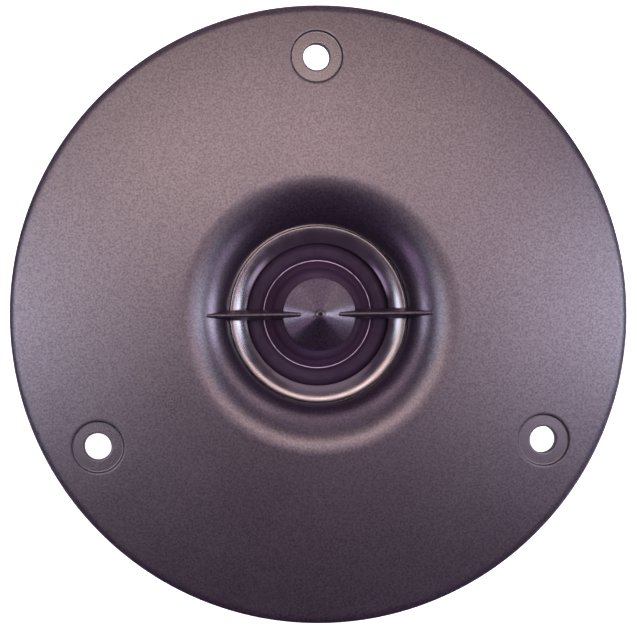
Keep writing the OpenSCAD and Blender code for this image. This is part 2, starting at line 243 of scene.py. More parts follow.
@dataclass
class Shell:
    """Grids of points that become one closed mesh."""

    points: list[Array] = field(default_factory=list)
    faces: list[Array] = field(default_factory=list)
    count: int = 0

    def add(self, grid: Array, wrap: bool = True) -> "Shell":
        """Adds a grid as four-sided faces.

        Args:
            grid: Points of shape (rows, columns, 3).
            wrap: Whether the last column joins the first.

        Returns:
            The shell itself.
        """
        rows, columns = grid.shape[:2]
        index = self.count + np.arange(rows * columns).reshape(rows, columns)
        if wrap:
            index = np.column_stack([index, index[:, 0]])
        quads = np.stack([index[:-1, :-1], index[:-1, 1:], index[1:, 1:], index[1:, :-1]], axis=-1)
        self.points.append(grid.reshape(-1, 3))
        self.faces.append(quads.reshape(-1, 4))
        self.count += rows * columns
        return self

    def cap(self, loop: Array, rings: int = 3) -> "Shell":
        """Closes a loop with rings of faces that shrink to its middle point.

        Args:
            loop: Closed row of points.
            rings: Number of rings.

        Returns:
            The shell itself.
        """
        middle = loop.mean(axis=0)
        k = np.linspace(0.0, 1.0, rings + 1)[:, None, None]
        return self.add(loop[None] * (1 - k) + middle * k)

    def tube(self, grid: Array) -> "Shell":
        """Adds a closed section carried along a path, with both ends capped.

        Args:
            grid: Points, path by section.

        Returns:
            The shell itself.
        """
        return self.add(grid).cap(grid[0]).cap(grid[-1])

    def build(self, name: str, sharp: float = 38.0) -> bpy.types.Object:
        """Welds the grids and makes the piece.

        Args:
            name: Name of the piece.
            sharp: Angle in degrees above which an edge stays sharp.

        Returns:
            The new object, at the origin.
        """
        mesh = bpy.data.meshes.new(name)
        mesh.from_pydata((np.vstack(self.points) * MM).tolist(), [], np.vstack(self.faces).tolist())
        work = bmesh.new()
        work.from_mesh(mesh)
        bmesh.ops.remove_doubles(work, verts=work.verts, dist=2e-4 * MM)
        bmesh.ops.recalc_face_normals(work, faces=work.faces)
        work.to_mesh(mesh)
        work.free()
        mesh.shade_smooth()
        mesh.set_sharp_from_angle(angle=math.radians(sharp))
        piece = bpy.data.objects.new(name, mesh)
        bpy.context.scene.collection.objects.link(piece)
        return piece


def turned(
    name: str, profiles: list[Array], columns: int = 144, centres: list[Pair] | None = None
) -> bpy.types.Object:
    """Closed profiles turned about Z as one piece.

    Args:
        name: Name of the piece.
        profiles: Closed or axis-to-axis profiles of (radius, height).
        columns: Angles in the full turn.
        centres: Where the axes stand, or the origin alone.

    Returns:
        The new object.
    """
    shell = Shell()
    for centre in centres or [(0.0, 0.0)]:
        for profile in profiles:
            shell.add(revolve(profile, columns, centre))
    return shell.build(name)


def loop_of(corners: list[Corner], steps: int = 4) -> Array:
    """Closed outline with rounded corners, its last point on its first.

    Args:
        corners: (radius, height, corner radius) of each corner.
        steps: Steps of each arc.

    Returns:
        Points of the outline as rows of (radius, height).
    """
    first, second = corners[0], corners[1]
    mid = ((first[0] + second[0]) / 2, (first[1] + second[1]) / 2, 0.0)
    return outline([mid, *corners[1:], first, mid], steps)


@dataclass(frozen=True)
class Hole:
    """A round hole's centre in X and Y."""

    x: float
    y: float


@dataclass
class PiercedRing:
    """A flat ring-shaped face with round holes, as polar cells and hole windows.

    A window is a block of polar cells about one hole. Inside it the face runs from
    the window's edge B straight to the hole's circle: c + (1 - k) r d + k (B - c),
    with c the hole's centre and d the unit of B - c.
    """

    inner: float
    outer: float
    holes: list[Hole]
    columns: int = 288
    rows: int = 12
    reach: int = 10

    def _windows(self) -> list[tuple[Hole, int]]:
        """Holes in order of angle, each with the column nearest its centre.

        Returns:
            Pairs of hole and column.
        """
        found = [(h, round(math.atan2(h.y, h.x) % TURN / TURN * self.columns)) for h in self.holes]
        return sorted(found, key=lambda pair: pair[1])

    def _polar(self, radii: Array, columns: Array) -> Array:
        """Points at those radii and column numbers, in X and Y.

        Args:
            radii: Distances from the axis.
            columns: Column numbers.

        Returns:
            Grid of points.
        """
        a = columns * TURN / self.columns
        return np.stack([radii * np.cos(a), radii * np.sin(a)], axis=-1)

    def _edge(self, column: int) -> Array:
        """Window edge as a closed loop of points in X and Y.

        Args:
            column: Column nearest the hole.

        Returns:
            Rows of (x, y).
        """
        cols = np.arange(column - self.reach, column + self.reach + 1)
        radii = np.linspace(self.inner, self.outer, self.rows + 1)
        return np.vstack([
            self._polar(np.full(len(cols) - 1, self.inner), cols[:-1]),
            self._polar(radii[:-1], np.full(self.rows, cols[-1])),
            self._polar(np.full(len(cols) - 1, self.outer), cols[:0:-1]),
            self._polar(radii[:0:-1], np.full(self.rows, cols[0])),
        ])

    def face(self, shell: Shell, height: float, hole_radius: float, spokes: int = 8) -> None:
        """Adds the face at a height, with every hole of one radius.

        Args:
            shell: Where the grids go.
            height: Z of the face.
            hole_radius: Radius at which the face ends about a hole.
            spokes: Steps from a hole to its window's edge.
        """
        windows = self._windows()
        radii = np.linspace(self.inner, self.outer, self.rows + 1)[:, None]
        for (hole, column), (_, following) in zip(windows, windows[1:] + windows[:1]):
            last = following + (self.columns if following <= column else 0) - self.reach
            cells = self._polar(radii, np.arange(column + self.reach, last + 1)[None])
            shell.add(self._lifted(cells, height), wrap=False)
            edge, centre = self._edge(column), np.array([hole.x, hole.y])
            unit = self._unit(edge, centre)
            k = np.linspace(0.0, 1.0, spokes + 1)[:, None, None]
            shell.add(self._lifted(centre + (1 - k) * hole_radius * unit + k * (edge - centre), height))

    def tubes(self, shell: Shell, profile: Array) -> None:
        """Adds a profile of (radius, height) turned about every hole's centre.

        Args:
            shell: Where the grids go.
            profile: Rows of (radius, height).
        """
        for hole, column in self._windows():
            centre = np.array([hole.x, hole.y])
            unit = self._unit(self._edge(column), centre)
            flat = centre + profile[:, None, :1] * unit[None]
            heights = np.broadcast_to(profile[:, None, 1:], (*flat.shape[:2], 1))
            shell.add(np.concatenate([flat, heights], axis=-1))

    @staticmethod
    def _unit(edge: Array, centre: Array) -> Array:
        """Unit vectors from a centre to the points of an edge.

        Args:
            edge: Rows of (x, y).
            centre: The centre, as (x, y).

        Returns:
            Rows of (x, y).
        """
        return (edge - centre) / np.linalg.norm(edge - centre, axis=1, keepdims=True)

    @staticmethod
    def _lifted(flat: Array, height: float) -> Array:
        """Points in X and Y raised to a height.

        Args:
            flat: Points in X and Y.
            height: Z of the points.

        Returns:
            The points in space.
        """
        return np.concatenate([flat, np.full((*flat.shape[:-1], 1), height)], axis=-1)


def spaced(count: int, radius: float, first: float = 90.0) -> list[Hole]:
    """Holes evenly spaced on a circle, the first at an angle in degrees.

    Args:
        count: How many.
        radius: Radius of their circle.
        first: Angle of the first hole in degrees.

    Returns:
        The holes.
    """
    angles = np.radians(first + np.arange(count) * 360.0 / count)
    return [Hole(float(radius * math.cos(a)), float(radius * math.sin(a))) for a in angles]


# ---------------------------------------------------------------- shader graphs


class Value:
    """A shader number that takes part in sums and products."""

    def __init__(self, graph: "Graph", socket: bpy.types.NodeSocket) -> None:
        """Keeps the graph and the socket that carries the number.

        Args:
            graph: The material graph.
            socket: The socket.
        """
        self.graph = graph
        self.socket = socket

    def _math(self, operation: str, *terms: "Value | float") -> "Value":
        """Math node on the given terms.

        Args:
            operation: What the node does.
            terms: Numbers or values, in order.

        Returns:
            The result.
        """
        plain = {i: t.socket if isinstance(t, Value) else float(t) for i, t in enumerate(terms)}
        made = self.graph.node("ShaderNodeMath", {"operation": operation}, plain)
        return Value(self.graph, made.outputs[0])

    def __add__(self, other: "Value | float") -> "Value":
        """Sum.

        Args:
            other: The other term.

        Returns:
            The sum.
        """
        return self._math("ADD", self, other)

    def __sub__(self, other: "Value | float") -> "Value":
        """Difference.

        Args:
            other: The other term.

        Returns:
            The difference.
        """
        return self._math("SUBTRACT", self, other)

    def __rsub__(self, other: float) -> "Value":
        """Difference from a number.

        Args:
            other: The other term.

        Returns:
            The difference.
        """
        return self._math("SUBTRACT", other, self)

    def __mul__(self, other: "Value | float") -> "Value":
        """Product.

        Args:
            other: The other term.

        Returns:
            The product.
        """
        return self._math("MULTIPLY", self, other)

    def __pow__(self, other: float) -> "Value":
        """Power.

        Args:
            other: The other term.

        Returns:
            The power.
        """
        return self._math("POWER", self, other)

    def least(self, other: "Value | float") -> "Value":
        """Smaller of the two.

        Args:
            other: The other term.

        Returns:
            The smaller one.
        """
        return self._math("MINIMUM", self, other)

    __radd__ = __add__
    __rmul__ = __mul__

    def span(self, low: float, high: float, start: float = 0.0, end: float = 1.0) -> "Value":
        """Runs smoothly from start to end as the number goes from low to high.

        Args:
            low: Where the rise starts.
            high: Where the rise ends.
            start: Result below low.
            end: Result above high.

        Returns:
            The new number.
        """
        settings = {"interpolation_type": "SMOOTHSTEP"}
        inputs = {0: self.socket, 1: low, 2: high, 3: start, 4: end}
        return Value(self.graph, self.graph.node("ShaderNodeMapRange", settings, inputs).outputs[0])


class Graph:
    """The node tree of one material."""

    def __init__(self, name: str) -> None:
        """Makes a material with an empty Principled shader.

        Args:
            name: Name of the material.
        """
        self.material = bpy.data.materials.new(name)
        self.material.use_nodes = True
        self.tree = self.material.node_tree
        self.shader = self.tree.nodes["Principled BSDF"]
        self.place = self.node("ShaderNodeTexCoord").outputs["Object"]

    def node(self, kind: str, settings: dict | None = None, inputs: dict | None = None) -> bpy.types.Node:
        """Adds a node.

        Args:
            kind: Type of the node.
            settings: Properties, set before the sockets.
            inputs: Value or link for each socket, by name or number.

        Returns:
            The node.
        """
        made = self.tree.nodes.new(kind)
        for name, value in (settings or {}).items():
            setattr(made, name, value)
        for key, value in (inputs or {}).items():
            self.feed(made.inputs[key], value)
        return made

    def feed(self, socket: bpy.types.NodeSocket, value: object) -> None:
        """Links a socket to a value's socket, or sets it to a constant.

        Args:
            socket: The socket.
            value: A value, a socket or a constant.
        """
        if isinstance(value, Value):
            value = value.socket
        if isinstance(value, bpy.types.NodeSocket):
            self.tree.links.new(value, socket)
        else:
            socket.default_value = value

    def constants(self, **values: float | Colour) -> None:
        """Sets the shader's own sockets, an underscore standing for a space.

        Args:
            values: Constants by the name of their socket.
        """
        for name, value in values.items():
            full = (*value, 1.0) if isinstance(value, tuple) else value
            self.shader.inputs[name.replace("_", " ")].default_value = full

    def scaled(self, scale: tuple[float, float, float]) -> bpy.types.NodeSocket:
        """Object coordinates stretched along each axis.

        Args:
            scale: Factor along each axis.

        Returns:
            Socket of the stretched coordinates.
        """
        return self.node("ShaderNodeMapping", None, {"Vector": self.place, "Scale": scale}).outputs[0]

    def noise(
        self,
        grain_mm: float,
        detail: float = 2.0,
        rough: float = 0.5,
        place: bpy.types.NodeSocket | None = None,
    ) -> Value:
        """Noise from 0 to 1.

        Args:
            grain_mm: About the size of its features in millimetres.
            detail: Octaves of finer noise.
            rough: Weight of the finer octaves.
            place: Coordinates, or the object's own.

        Returns:
            The noise.
        """
        settings = {"noise_dimensions": "3D"}
        inputs = {
            "Vector": place or self.place,
            "Scale": 1.0 / (grain_mm * MM),
            "Detail": detail,
            "Roughness": rough,
        }
        return Value(self, self.node("ShaderNodeTexNoise", settings, inputs).outputs["Fac"])

    def cells(self, grain_mm: float) -> Value:
        """Distance to the nearest cell centre.

        Args:
            grain_mm: Size of a cell in millimetres.

        Returns:
            The distance, as a share of a cell.
        """
        inputs = {"Vector": self.place, "Scale": 1.0 / (grain_mm * MM)}
        made = self.node("ShaderNodeTexVoronoi", {"feature": "F1"}, inputs)
        return Value(self, made.outputs["Distance"])

    def _vector(self, operation: str, *terms: bpy.types.NodeSocket | Spot) -> bpy.types.Node:
        """Adds a vector math node.

        Args:
            operation: What it does.
            terms: Its inputs, in order.

        Returns:
            The node.
        """
        return self.node("ShaderNodeVectorMath", {"operation": operation}, dict(enumerate(terms)))

    def radius(self) -> Value:
        """Distance from the Z axis.

        Returns:
            The distance in millimetres.
        """
        flat = self._vector("MULTIPLY", self.place, FLAT)
        return Value(self, self._vector("LENGTH", flat.outputs[0]).outputs["Value"]) * (1.0 / MM)

    def nearest(self, holes: list[Hole]) -> Value:
        """Distance from the nearest of some axes along Z.

        Args:
            holes: Where the axes stand.

        Returns:
            The distance in millimetres.
        """
        flat = self._vector("MULTIPLY", self.place, FLAT)
        found = None
        for hole in holes:
            made = self._vector("DISTANCE", flat.outputs[0], (hole.x * MM, hole.y * MM, 0.0))
            away = Value(self, made.outputs["Value"])
            found = away if found is None else found.least(away)
        return found * (1.0 / MM)

    def sine(self, angle: Value) -> Value:
        """Sine of a value in radians, moved into 0 to 1.

        Args:
            angle: The value in radians.

        Returns:
            The wave.
        """
        wave = self.node("ShaderNodeMath", {"operation": "SINE"}, {0: angle.socket}).outputs[0]
        return Value(self, wave) * 0.5 + 0.5

    def mix(self, factor: Value, low: Colour, high: Colour) -> bpy.types.NodeSocket:
        """Colour between two colours.

        Args:
            factor: Share of the second colour.
            low: First colour.
            high: Second colour.

        Returns:
            Socket of the colour.
        """
        inputs = {0: factor, 6: (*low, 1.0), 7: (*high, 1.0)}
        return self.node("ShaderNodeMix", {"data_type": "RGBA"}, inputs).outputs[2]

    def blend(self, factor: Value, low: object, high: object) -> bpy.types.NodeSocket:
        """Colour between two sockets or colours with alpha.

        Args:
            factor: Share of the second colour.
            low: First colour.
            high: Second colour.

        Returns:
            Socket of the colour.
        """
        inputs = {0: factor, 6: low, 7: high}
        return self.node("ShaderNodeMix", {"data_type": "RGBA"}, inputs).outputs[2]

    def colour(self, socket: bpy.types.NodeSocket) -> None:
        """Feeds the base colour.

        Args:
            socket: The socket.
        """
        self.feed(self.shader.inputs["Base Color"], socket)

    def rough(self, value: Value) -> None:
        """Feeds the roughness.

        Args:
            value: The roughness.
        """
        self.feed(self.shader.inputs["Roughness"], value)

    def bump(self, value: Value, depth_mm: float, strength: float = 1.0) -> None:
        """Raises the surface by up to the depth where the value is 1.

        Args:
            value: Height of the relief, from 0 to 1.
            depth_mm: Height of the relief in millimetres.
            strength: Share of the relief that shows.
        """
        inputs = {"Height": value, "Distance": depth_mm * MM, "Strength": strength}
        self.feed(self.shader.inputs["Normal"], self.node("ShaderNodeBump", None, inputs).outputs[0])


# ---------------------------------------------------------------- finishes


@dataclass(frozen=True)
class Finish:
    """A material slot of the record and how it looks."""

    slot: str

    def shade(self, graph: Graph) -> None:
        """Fills the graph.

        Args:
            graph: The node tree to fill.
        """
        raise NotImplementedError

    def dress(self, *pieces: bpy.types.Object) -> None:
        """Gives the finish to the pieces.

        Args:
            pieces: The pieces.
        """
        graph = Graph(self.slot)
        self.shade(graph)
        for piece in pieces:
            piece.data.materials.clear()
            piece.data.materials.append(graph.material)


@dataclass(frozen=True)
class GrainedPlastic(Finish):
    """Black plastic with a fine spark-eroded grain, smooth counterbore floors, and painted shade lines at
    the hole rims, the plate's edge and the plug's dimple.
    """

    slot: str = "faceplate_plastic"
    dark: Colour = (0.0070, 0.0040, 0.0080)
    light: Colour = (0.0200, 0.0135, 0.0225)
    grain: float = 0.34
    depth: float = 0.005
    sparkle: float = 0.52
    roughness: float = 0.30
    bolt_circle: float = 43.4
    bolt_hole: float = 2.25
    counterbore: float = 4.35
    # Width of the painted shadow lines at the hole rims.
    shadow: float = 0.17
    rim: float = 51.92
    dimple: float = 0.4

    def shade(self, graph: Graph) -> None:
        """Grain from noise and cells, with mottled gloss; floors are smoother, and the hole rims, the
        plate's edge and the plug's dimple get painted shade as dark, rough lines.

        Args:
            graph: The node tree to fill.
        """
        fine = graph.noise(self.grain, 2.0, 0.6)
        spots = graph.cells(self.grain * 1.2).span(0.1, 0.8)
        wide = graph.noise(9.0, 3.0)
        hole = graph.nearest(spaced(3, self.bolt_circle))
        floor = 1.0 - hole.span(self.counterbore - 0.2, self.counterbore - 0.1)
        # Painted shade: thin dark lines at the counterbore and bolt hole rims, at the plate's edge and in
        # the plug's dimple.
        lines = self._painted_shade_line(hole, self.counterbore) + self._painted_shade_line(hole, self.bolt_hole)
        lines = lines + graph.radius().span(self.rim - 0.15, self.rim + 0.1)
        lines = lines + (1.0 - graph.radius().span(self.dimple - 0.1, self.dimple + 0.1))
        mottle = wide * 0.2 + spots * 0.4 + fine.span(0.3, 0.7) * 0.4
        # The painted shade lines take the dark colour.
        graph.colour(graph.mix(mottle * (1.0 - lines), self.dark, self.light))
        gloss = wide * 0.05 + spots * 0.03 + (self.roughness - 0.04)
        # The painted shade lines are made rough, so that no sheen shows on them.
        graph.rough(gloss - floor * 0.04 + lines * 0.6)
        speckle = fine.span(0.3, 0.7) * (1.0 - floor * 0.6)
        graph.feed(graph.shader.inputs["Metallic"], speckle * self.sparkle)
        graph.constants(IOR=1.57)
        graph.bump((fine * 0.7 + spots * 0.3) * (1.0 - floor * 0.75), self.depth)

    def _painted_shade_line(self, distance: "Value", at: float) -> "Value":
        """Mask of a thin painted shadow line at a distance from the nearest bolt hole's axis.

        Args:
            distance: Distance from the nearest axis.
            at: Distance at which the line lies.

        Returns:
            The mask, 1 on the line.
        """
        half = self.shadow / 2
        entered = distance.span(at - 2.0 * half, at - 0.5 * half)
        left = distance.span(at + 0.5 * half, at + 2.0 * half)
        return entered - left


@dataclass(frozen=True)
class PolishedPlastic(Finish):
    """Smooth dark plastic with a faint haze."""

    slot: str = "throat_plastic"
    dark: Colour = (0.014, 0.009, 0.015)
    light: Colour = (0.024, 0.016, 0.025)
    low: float = 0.18
    high: float = 0.22

    def shade(self, graph: Graph) -> None:
        """Soft haze in the gloss and a trace of moulding ripple.

        Args:
            graph: The node tree to fill.
        """
        haze = graph.noise(2.2, 3.0)
        graph.colour(graph.mix(haze, self.dark, self.light))
        graph.rough(haze.span(0.3, 0.7, self.low, self.high))
        graph.constants(IOR=1.76)
        graph.bump(graph.noise(0.7, 2.0), 0.0012)


@dataclass(frozen=True)
class Film(Finish):
    """Matt coated film with faint forming rings and a painted highlight line at its crease."""

    slot: str = "surround_film"
    dark: Colour = (0.0105, 0.0038, 0.0120)
    light: Colour = (0.0190, 0.0075, 0.0215)
    # Colour of the painted highlight line at the crease.
    crease_highlight: Colour = (0.56, 0.45, 0.54)
    crease: float = 9.18
    line: float = 0.085
    low: float = 0.62
    high: float = 0.80
    ring_pitch: float = 0.9

    def shade(self, graph: Graph) -> None:
        """Fine rings about the axis under a soft haze, and a thin painted highlight line at the crease.

        Args:
            graph: The node tree to fill.
        """
        haze = graph.noise(1.6, 3.0)
        rings = graph.sine(graph.radius() * (TURN / self.ring_pitch))
        # Mask of the painted highlight line: a thin band about the crease.
        inner = graph.radius().span(self.crease - self.line, self.crease - 0.3 * self.line)
        outer = graph.radius().span(self.crease + 0.3 * self.line, self.crease + self.line)
        crease_highlight = inner - outer
        film = graph.mix(haze * 0.7 + rings * 0.3, self.dark, self.light)
        # The painted highlight line is blended over the film and made glossier.
        graph.colour(graph.blend(crease_highlight * haze.span(0.25, 0.6, 0.45, 1.0), film, (*self.crease_highlight, 1.0)))
        graph.rough(haze.span(0.3, 0.7, self.low, self.high) - crease_highlight * 0.3)
        graph.constants(IOR=1.45, Specular_IOR_Level=0.25)
        graph.bump(rings * 0.5 + haze * 0.5, 0.006)


@dataclass(frozen=True)
class PlatedSteel(Finish):
    """Zinc-plated steel with turning marks, light stains and dull patches."""

    slot: str = "plated_steel"
    pale: Colour = (0.60, 0.575, 0.51)
    warm: Colour = (0.52, 0.45, 0.33)
    low: float = 0.26
    high: float = 0.44

    def shade(self, graph: Graph) -> None:
        """Rings from turning on top of blotchy passivation.

        Args:
            graph: The node tree to fill.
        """
        blotch = graph.noise(6.0, 4.0, 0.6)
        marks = graph.noise(0.5, 2.0) * 0.35 + graph.sine(graph.radius() * (TURN / 0.32)) * 0.65
        graph.colour(graph.mix(blotch.span(0.35, 0.75), self.pale, self.warm))
        graph.rough(blotch * 0.6 * (self.high - self.low) + marks * 0.4 * (self.high - self.low) + self.low)
        graph.constants(Metallic=1.0)
        graph.bump(marks, 0.006)


@dataclass(frozen=True)
class PlainMetal(Finish):
    """Small metal parts with handling marks: terminals, eyelets, rivets, screws, solder."""

    slot: str = "tinned_brass"
    pale: Colour = (0.68, 0.66, 0.60)
    warm: Colour = (0.50, 0.46, 0.38)
    low: float = 0.22
    high: float = 0.42
    grain: float = 1.1
    relief: float = 0.006

    def shade(self, graph: Graph) -> None:
        """Tarnish in patches with fine scratches along X.

        Args:
            graph: The node tree to fill.
        """
        patch = graph.noise(self.grain, 3.0, 0.6)
        scratch = graph.noise(0.25, 2.0, 0.5, graph.scaled((0.15, 1.0, 1.0)))
        graph.colour(graph.mix(patch.span(0.3, 0.75), self.pale, self.warm))
        graph.rough((patch * 0.6 + scratch * 0.4).span(0.25, 0.75, self.low, self.high))
        graph.constants(Metallic=1.0)
        graph.bump(scratch * 0.5 + patch * 0.5, self.relief)


@dataclass(frozen=True)
class Ferrite(Finish):
    """Ground ferrite: dark grey, matt, with fine pits and small chips."""

    slot: str = "ferrite"
    dark: Colour = (0.030, 0.030, 0.033)
    light: Colour = (0.068, 0.067, 0.070)

    def shade(self, graph: Graph) -> None:
        """Pits from cells, grinding haze from noise.

        Args:
            graph: The node tree to fill.
        """
        pits = graph.cells(0.6).span(0.05, 0.45)
        haze = graph.noise(3.0, 4.0, 0.6)
        lines = graph.noise(0.4, 1.0, 0.5, graph.scaled((1.0, 1.0, 0.12)))
        graph.colour(graph.mix(haze * 0.6 + pits * 0.4, self.dark, self.light))
        graph.rough(haze.span(0.3, 0.7, 0.48, 0.66))
        graph.bump(pits * 0.7 + lines * 0.3, 0.02)


@dataclass(frozen=True)
class Fibrous(Finish):
    """Felt, foam, pressed fibre or phenolic paper: short fibres over a soft ground."""

    slot: str = "felt"
    dark: Colour = (0.050, 0.048, 0.052)
    light: Colour = (0.120, 0.115, 0.120)
    grain: float = 0.3
    relief: float = 0.06
    low: float = 0.85
    high: float = 0.95

    def shade(self, graph: Graph) -> None:
        """Fibres stretched along X over a wider mottle.

        Args:
            graph: The node tree to fill.
        """
        fibre = graph.noise(self.grain, 3.0, 0.6, graph.scaled((0.35, 1.0, 1.0)))
        mottle = graph.noise(self.grain * 8.0, 2.0)
        graph.colour(graph.mix(fibre * 0.6 + mottle * 0.4, self.dark, self.light))
        graph.rough(fibre.span(0.3, 0.7, self.low, self.high))
        graph.bump(fibre * 0.7 + mottle * 0.3, self.relief)


@dataclass(frozen=True)
class WireSkin(Finish):
    """Extruded insulation, slightly uneven."""

    slot: str = "wire_black"
    dark: Colour = (0.010, 0.010, 0.011)
    light: Colour = (0.020, 0.020, 0.022)

    def shade(self, graph: Graph) -> None:
        """Faint drag marks and haze.

        Args:
            graph: The node tree to fill.
        """
        haze = graph.noise(0.8, 2.0)
        graph.colour(graph.mix(haze, self.dark, self.light))
        graph.rough(haze.span(0.3, 0.7, 0.30, 0.42))
        graph.bump(haze, 0.008)


# ---------------------------------------------------------------- sub-assemblies


def settle(piece: bpy.types.Object, body: Body, *nodes: str) -> bpy.types.Object:
    """Lets a piece ride on its body in place of its nodes, and reports it.

    Args:
        piece: The new piece.
        body: The body that carries it.
        nodes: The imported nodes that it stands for.

    Returns:
        The piece.
    """
    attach(piece, body.value)
    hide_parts(*nodes)
    LOG.info("%s rides on %s: %d faces", piece.name, body.value, len(piece.data.polygons))
    return piece


def corners_mm(node: str) -> tuple[Vector, Vector]:
    """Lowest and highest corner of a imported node, in millimetres.

    Args:
        node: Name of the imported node.

    Returns:
        The two corners.
    """
    low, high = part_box(node)
    return low / MM, high / MM


@dataclass
class MountingPlate:
    """The front moulding: flange, flare, seat, drum, ribs and plug."""

    face: float = 4.0
    rim: float = field(default_factory=lambda: corners_mm("faceplate")[1].x)
    edge: Pair = (1.3, 0.25)
    mouth: float = 24.0
    throat: float = 15.4
    throat_floor: float = -2.0
    seat_floor: float = -3.7
    seat: Pair = (18.1, 19.9)
    drum: Pair = (28.4, 32.0)
    drum_lip: float = 30.1
    drum_foot: float = -7.0
    drum_end: float = field(default_factory=lambda: corners_mm("faceplate")[0].z)
    web: float = 1.8
    bolt_circle: float = 43.4
    bolt_hole: float = 2.25
    counterbore: Pair = (4.35, 0.9)
    window: Pair = (36.5, 50.2)
    boss: tuple[float, float, float] = (2.8, 1.42, -1.0)
    screw_circle: float = 26.3
    wire_gap: float = 3.2
    rib_foot: Pair = (0.85, -0.3)
    rib_crown: Pair = (0.35, 3.0)
    rib_span: Pair = (2.0, 19.75)
    plug: float = 6.15
    plug_edge: Pair = (0.75, 1.05)
    tip_ball: float = 2.2
    dimple: Pair = (0.3, 0.5)
    plug_tip: float = field(default_factory=lambda: corners_mm("faceplate")[1].z)

    def _inner_profile(self) -> Array:
        """From the window's inner edge on the face, down the flare, round the drum and back.

        Returns:
            Rows of (radius, height).
        """
        flare = ellipse(
            (self.mouth, self.throat_floor),
            (self.mouth - self.throat, self.face - self.throat_floor),
            (90.0, 180.0),
            56,
        )
        behind = outline([
            (self.throat, self.throat_floor, 0.0),
            (self.throat, self.seat_floor, 0.1),
            (self.seat[1], self.seat_floor, 0.1),
            (self.seat[1], self.seat_floor + 4.3, 0.6),
            (25.0, self.web, 1.2),
            (self.drum[0], self.web, 0.6),
            (self.drum[0], self.drum_foot, 0.1),
            (self.drum_lip, self.drum_foot, 0.05),
            (self.drum_lip, self.drum_end, 0.2),
            (self.drum[1], self.drum_end, 0.4),
            (self.drum[1], 0.0, 0.35),
            (self.window[0], 0.0, 0.0),
        ])
        return np.vstack([[(self.window[0], self.face), (30.0, self.face)], flare, behind[1:]])

    def _rim_profile(self) -> Array:
        """From the window's outer edge on the face, round the rim to the back.

        Returns:
            Rows of (radius, height).
        """
        across, down = self.edge
        roll = ellipse((self.rim - across, self.face - down), (across, down), (90.0, 0.0), 16)
        back = outline([
            (self.rim, self.face - down, 0.0),
            (self.rim, 0.0, 0.35),
            (self.window[1], 0.0, 0.0),
        ], 10)
        return np.vstack([[(self.window[1], self.face)], roll, back[1:]])

    def _hole_profile(self) -> Array:
        """Counterbore and through hole, from the face to the back.

        Returns:
            Rows of (radius, height).
        """
        wide, deep = self.counterbore
        floor = self.face - deep
        return outline([
            (wide + 0.45, self.face, 0.0),
            (wide, self.face, 0.10),
            (wide, floor, 0.12),
            (wide - 0.3, floor, 0.0),
            (self.bolt_hole + 0.3, floor, 0.0),
            (self.bolt_hole, floor, 0.10),
            (self.bolt_hole, 0.0, 0.15),
            (self.bolt_hole + 0.45, 0.0, 0.0),
        ], 4)

    def _shell(self) -> bpy.types.Object:
        """Flange, flare and drum in one closed mesh.

        Returns:
            The piece.
        """
        shell = Shell()
        ring = PiercedRing(*self.window, spaced(3, self.bolt_circle))
        shell.add(revolve(self._inner_profile(), ring.columns))
        shell.add(revolve(self._rim_profile(), ring.columns))
        ring.face(shell, self.face, self.counterbore[0] + 0.45)
        ring.face(shell, 0.0, self.bolt_hole + 0.45)
        ring.tubes(shell, self._hole_profile())
        return shell.build("faceplate_shell")

    def _seat_wall(self) -> bpy.types.Object:
        """Wall about the throat parts, open at the bottom for the wires, and the screw bosses.

        Returns:
            The piece.
        """
        section = loop_of([
            (self.seat[0], self.seat_floor + 0.2, 0.0),
            (self.seat[0], self.drum_foot, 0.1),
            (self.seat[1], self.drum_foot, 0.1),
            (self.seat[1], self.seat_floor + 0.2, 0.0),
        ])[:-1]
        shell = Shell().tube(open_ring(section, math.asin(self.wire_gap / self.seat[0])))
        wide, bore, top = self.boss
        boss = loop_of([
            (bore, top, 0.0),
            (bore, self.drum_foot + 0.2, 0.1),
            (wide, self.drum_foot + 0.2, 0.1),
            (wide, self.web + 0.4, 0.0),
            (0.0, self.web + 0.4, 0.0),
            (0.0, top, 0.0),
        ])
        for hole in spaced(3, self.screw_circle):
            shell.add(revolve(boss, 40, (hole.x, hole.y)))
        return shell.build("faceplate_seat_wall")

    def _bridge(self) -> bpy.types.Object:
        """Plug and ribs: a turned cone that touches the ball of its tip, and two drawn ribs.

        The cone leaves its edge at distance e from the axis and h above the ball's centre.
        It touches the ball of radius q where the slope is asin(q / d) - atan2(h, e), with d
        the distance from the ball's centre to the edge.

        Returns:
            The piece.
        """
        low, high = self.plug_edge
        ball, (hole, deep) = self.tip_ball, self.dimple
        rise = high - self.plug_tip + ball
        slope = math.asin(ball / math.hypot(self.plug, rise)) - math.atan2(rise, self.plug)
        start = 90.0 - math.degrees(slope)
        end = 90.0 - math.degrees(math.asin((hole + 0.07) / ball))
        tip = ellipse((0.0, self.plug_tip - ball), (ball, ball), (start, end), 12)
        side = outline([
            (0.0, self.plug_tip - 1.9, 0.0),
            (3.0, high + 0.45, 1.0),
            (self.plug - 0.5, low - 0.15, 0.15),
            (self.plug, low, 0.1),
            (self.plug, high, 0.12),
            (tip[0, 0], tip[0, 1], 0.0),
        ], 8)
        lip = outline([
            (tip[-1, 0], tip[-1, 1], 0.0),
            (hole, self.plug_tip - 0.03, 0.05),
            (hole - 0.04, self.plug_tip - deep, 0.08),
            (0.0, self.plug_tip - deep, 0.0),
        ], 4)
        shell = Shell().add(revolve(np.vstack([side, tip[1:], lip[1:]]), 144))
        (foot, floor), (crown, top) = self.rib_foot, self.rib_crown
        arch = ellipse((0.0, top - crown), (crown, crown), (0.0, 180.0), 16)
        section = np.vstack([[(foot, floor)], arch, [(-foot, floor)]])
        x = np.linspace(*self.rib_span, 40)[:, None]
        across, up = 0.0 * x + section[None, :, 0], 0.0 * x + section[None, :, 1]
        for side_of in Side:
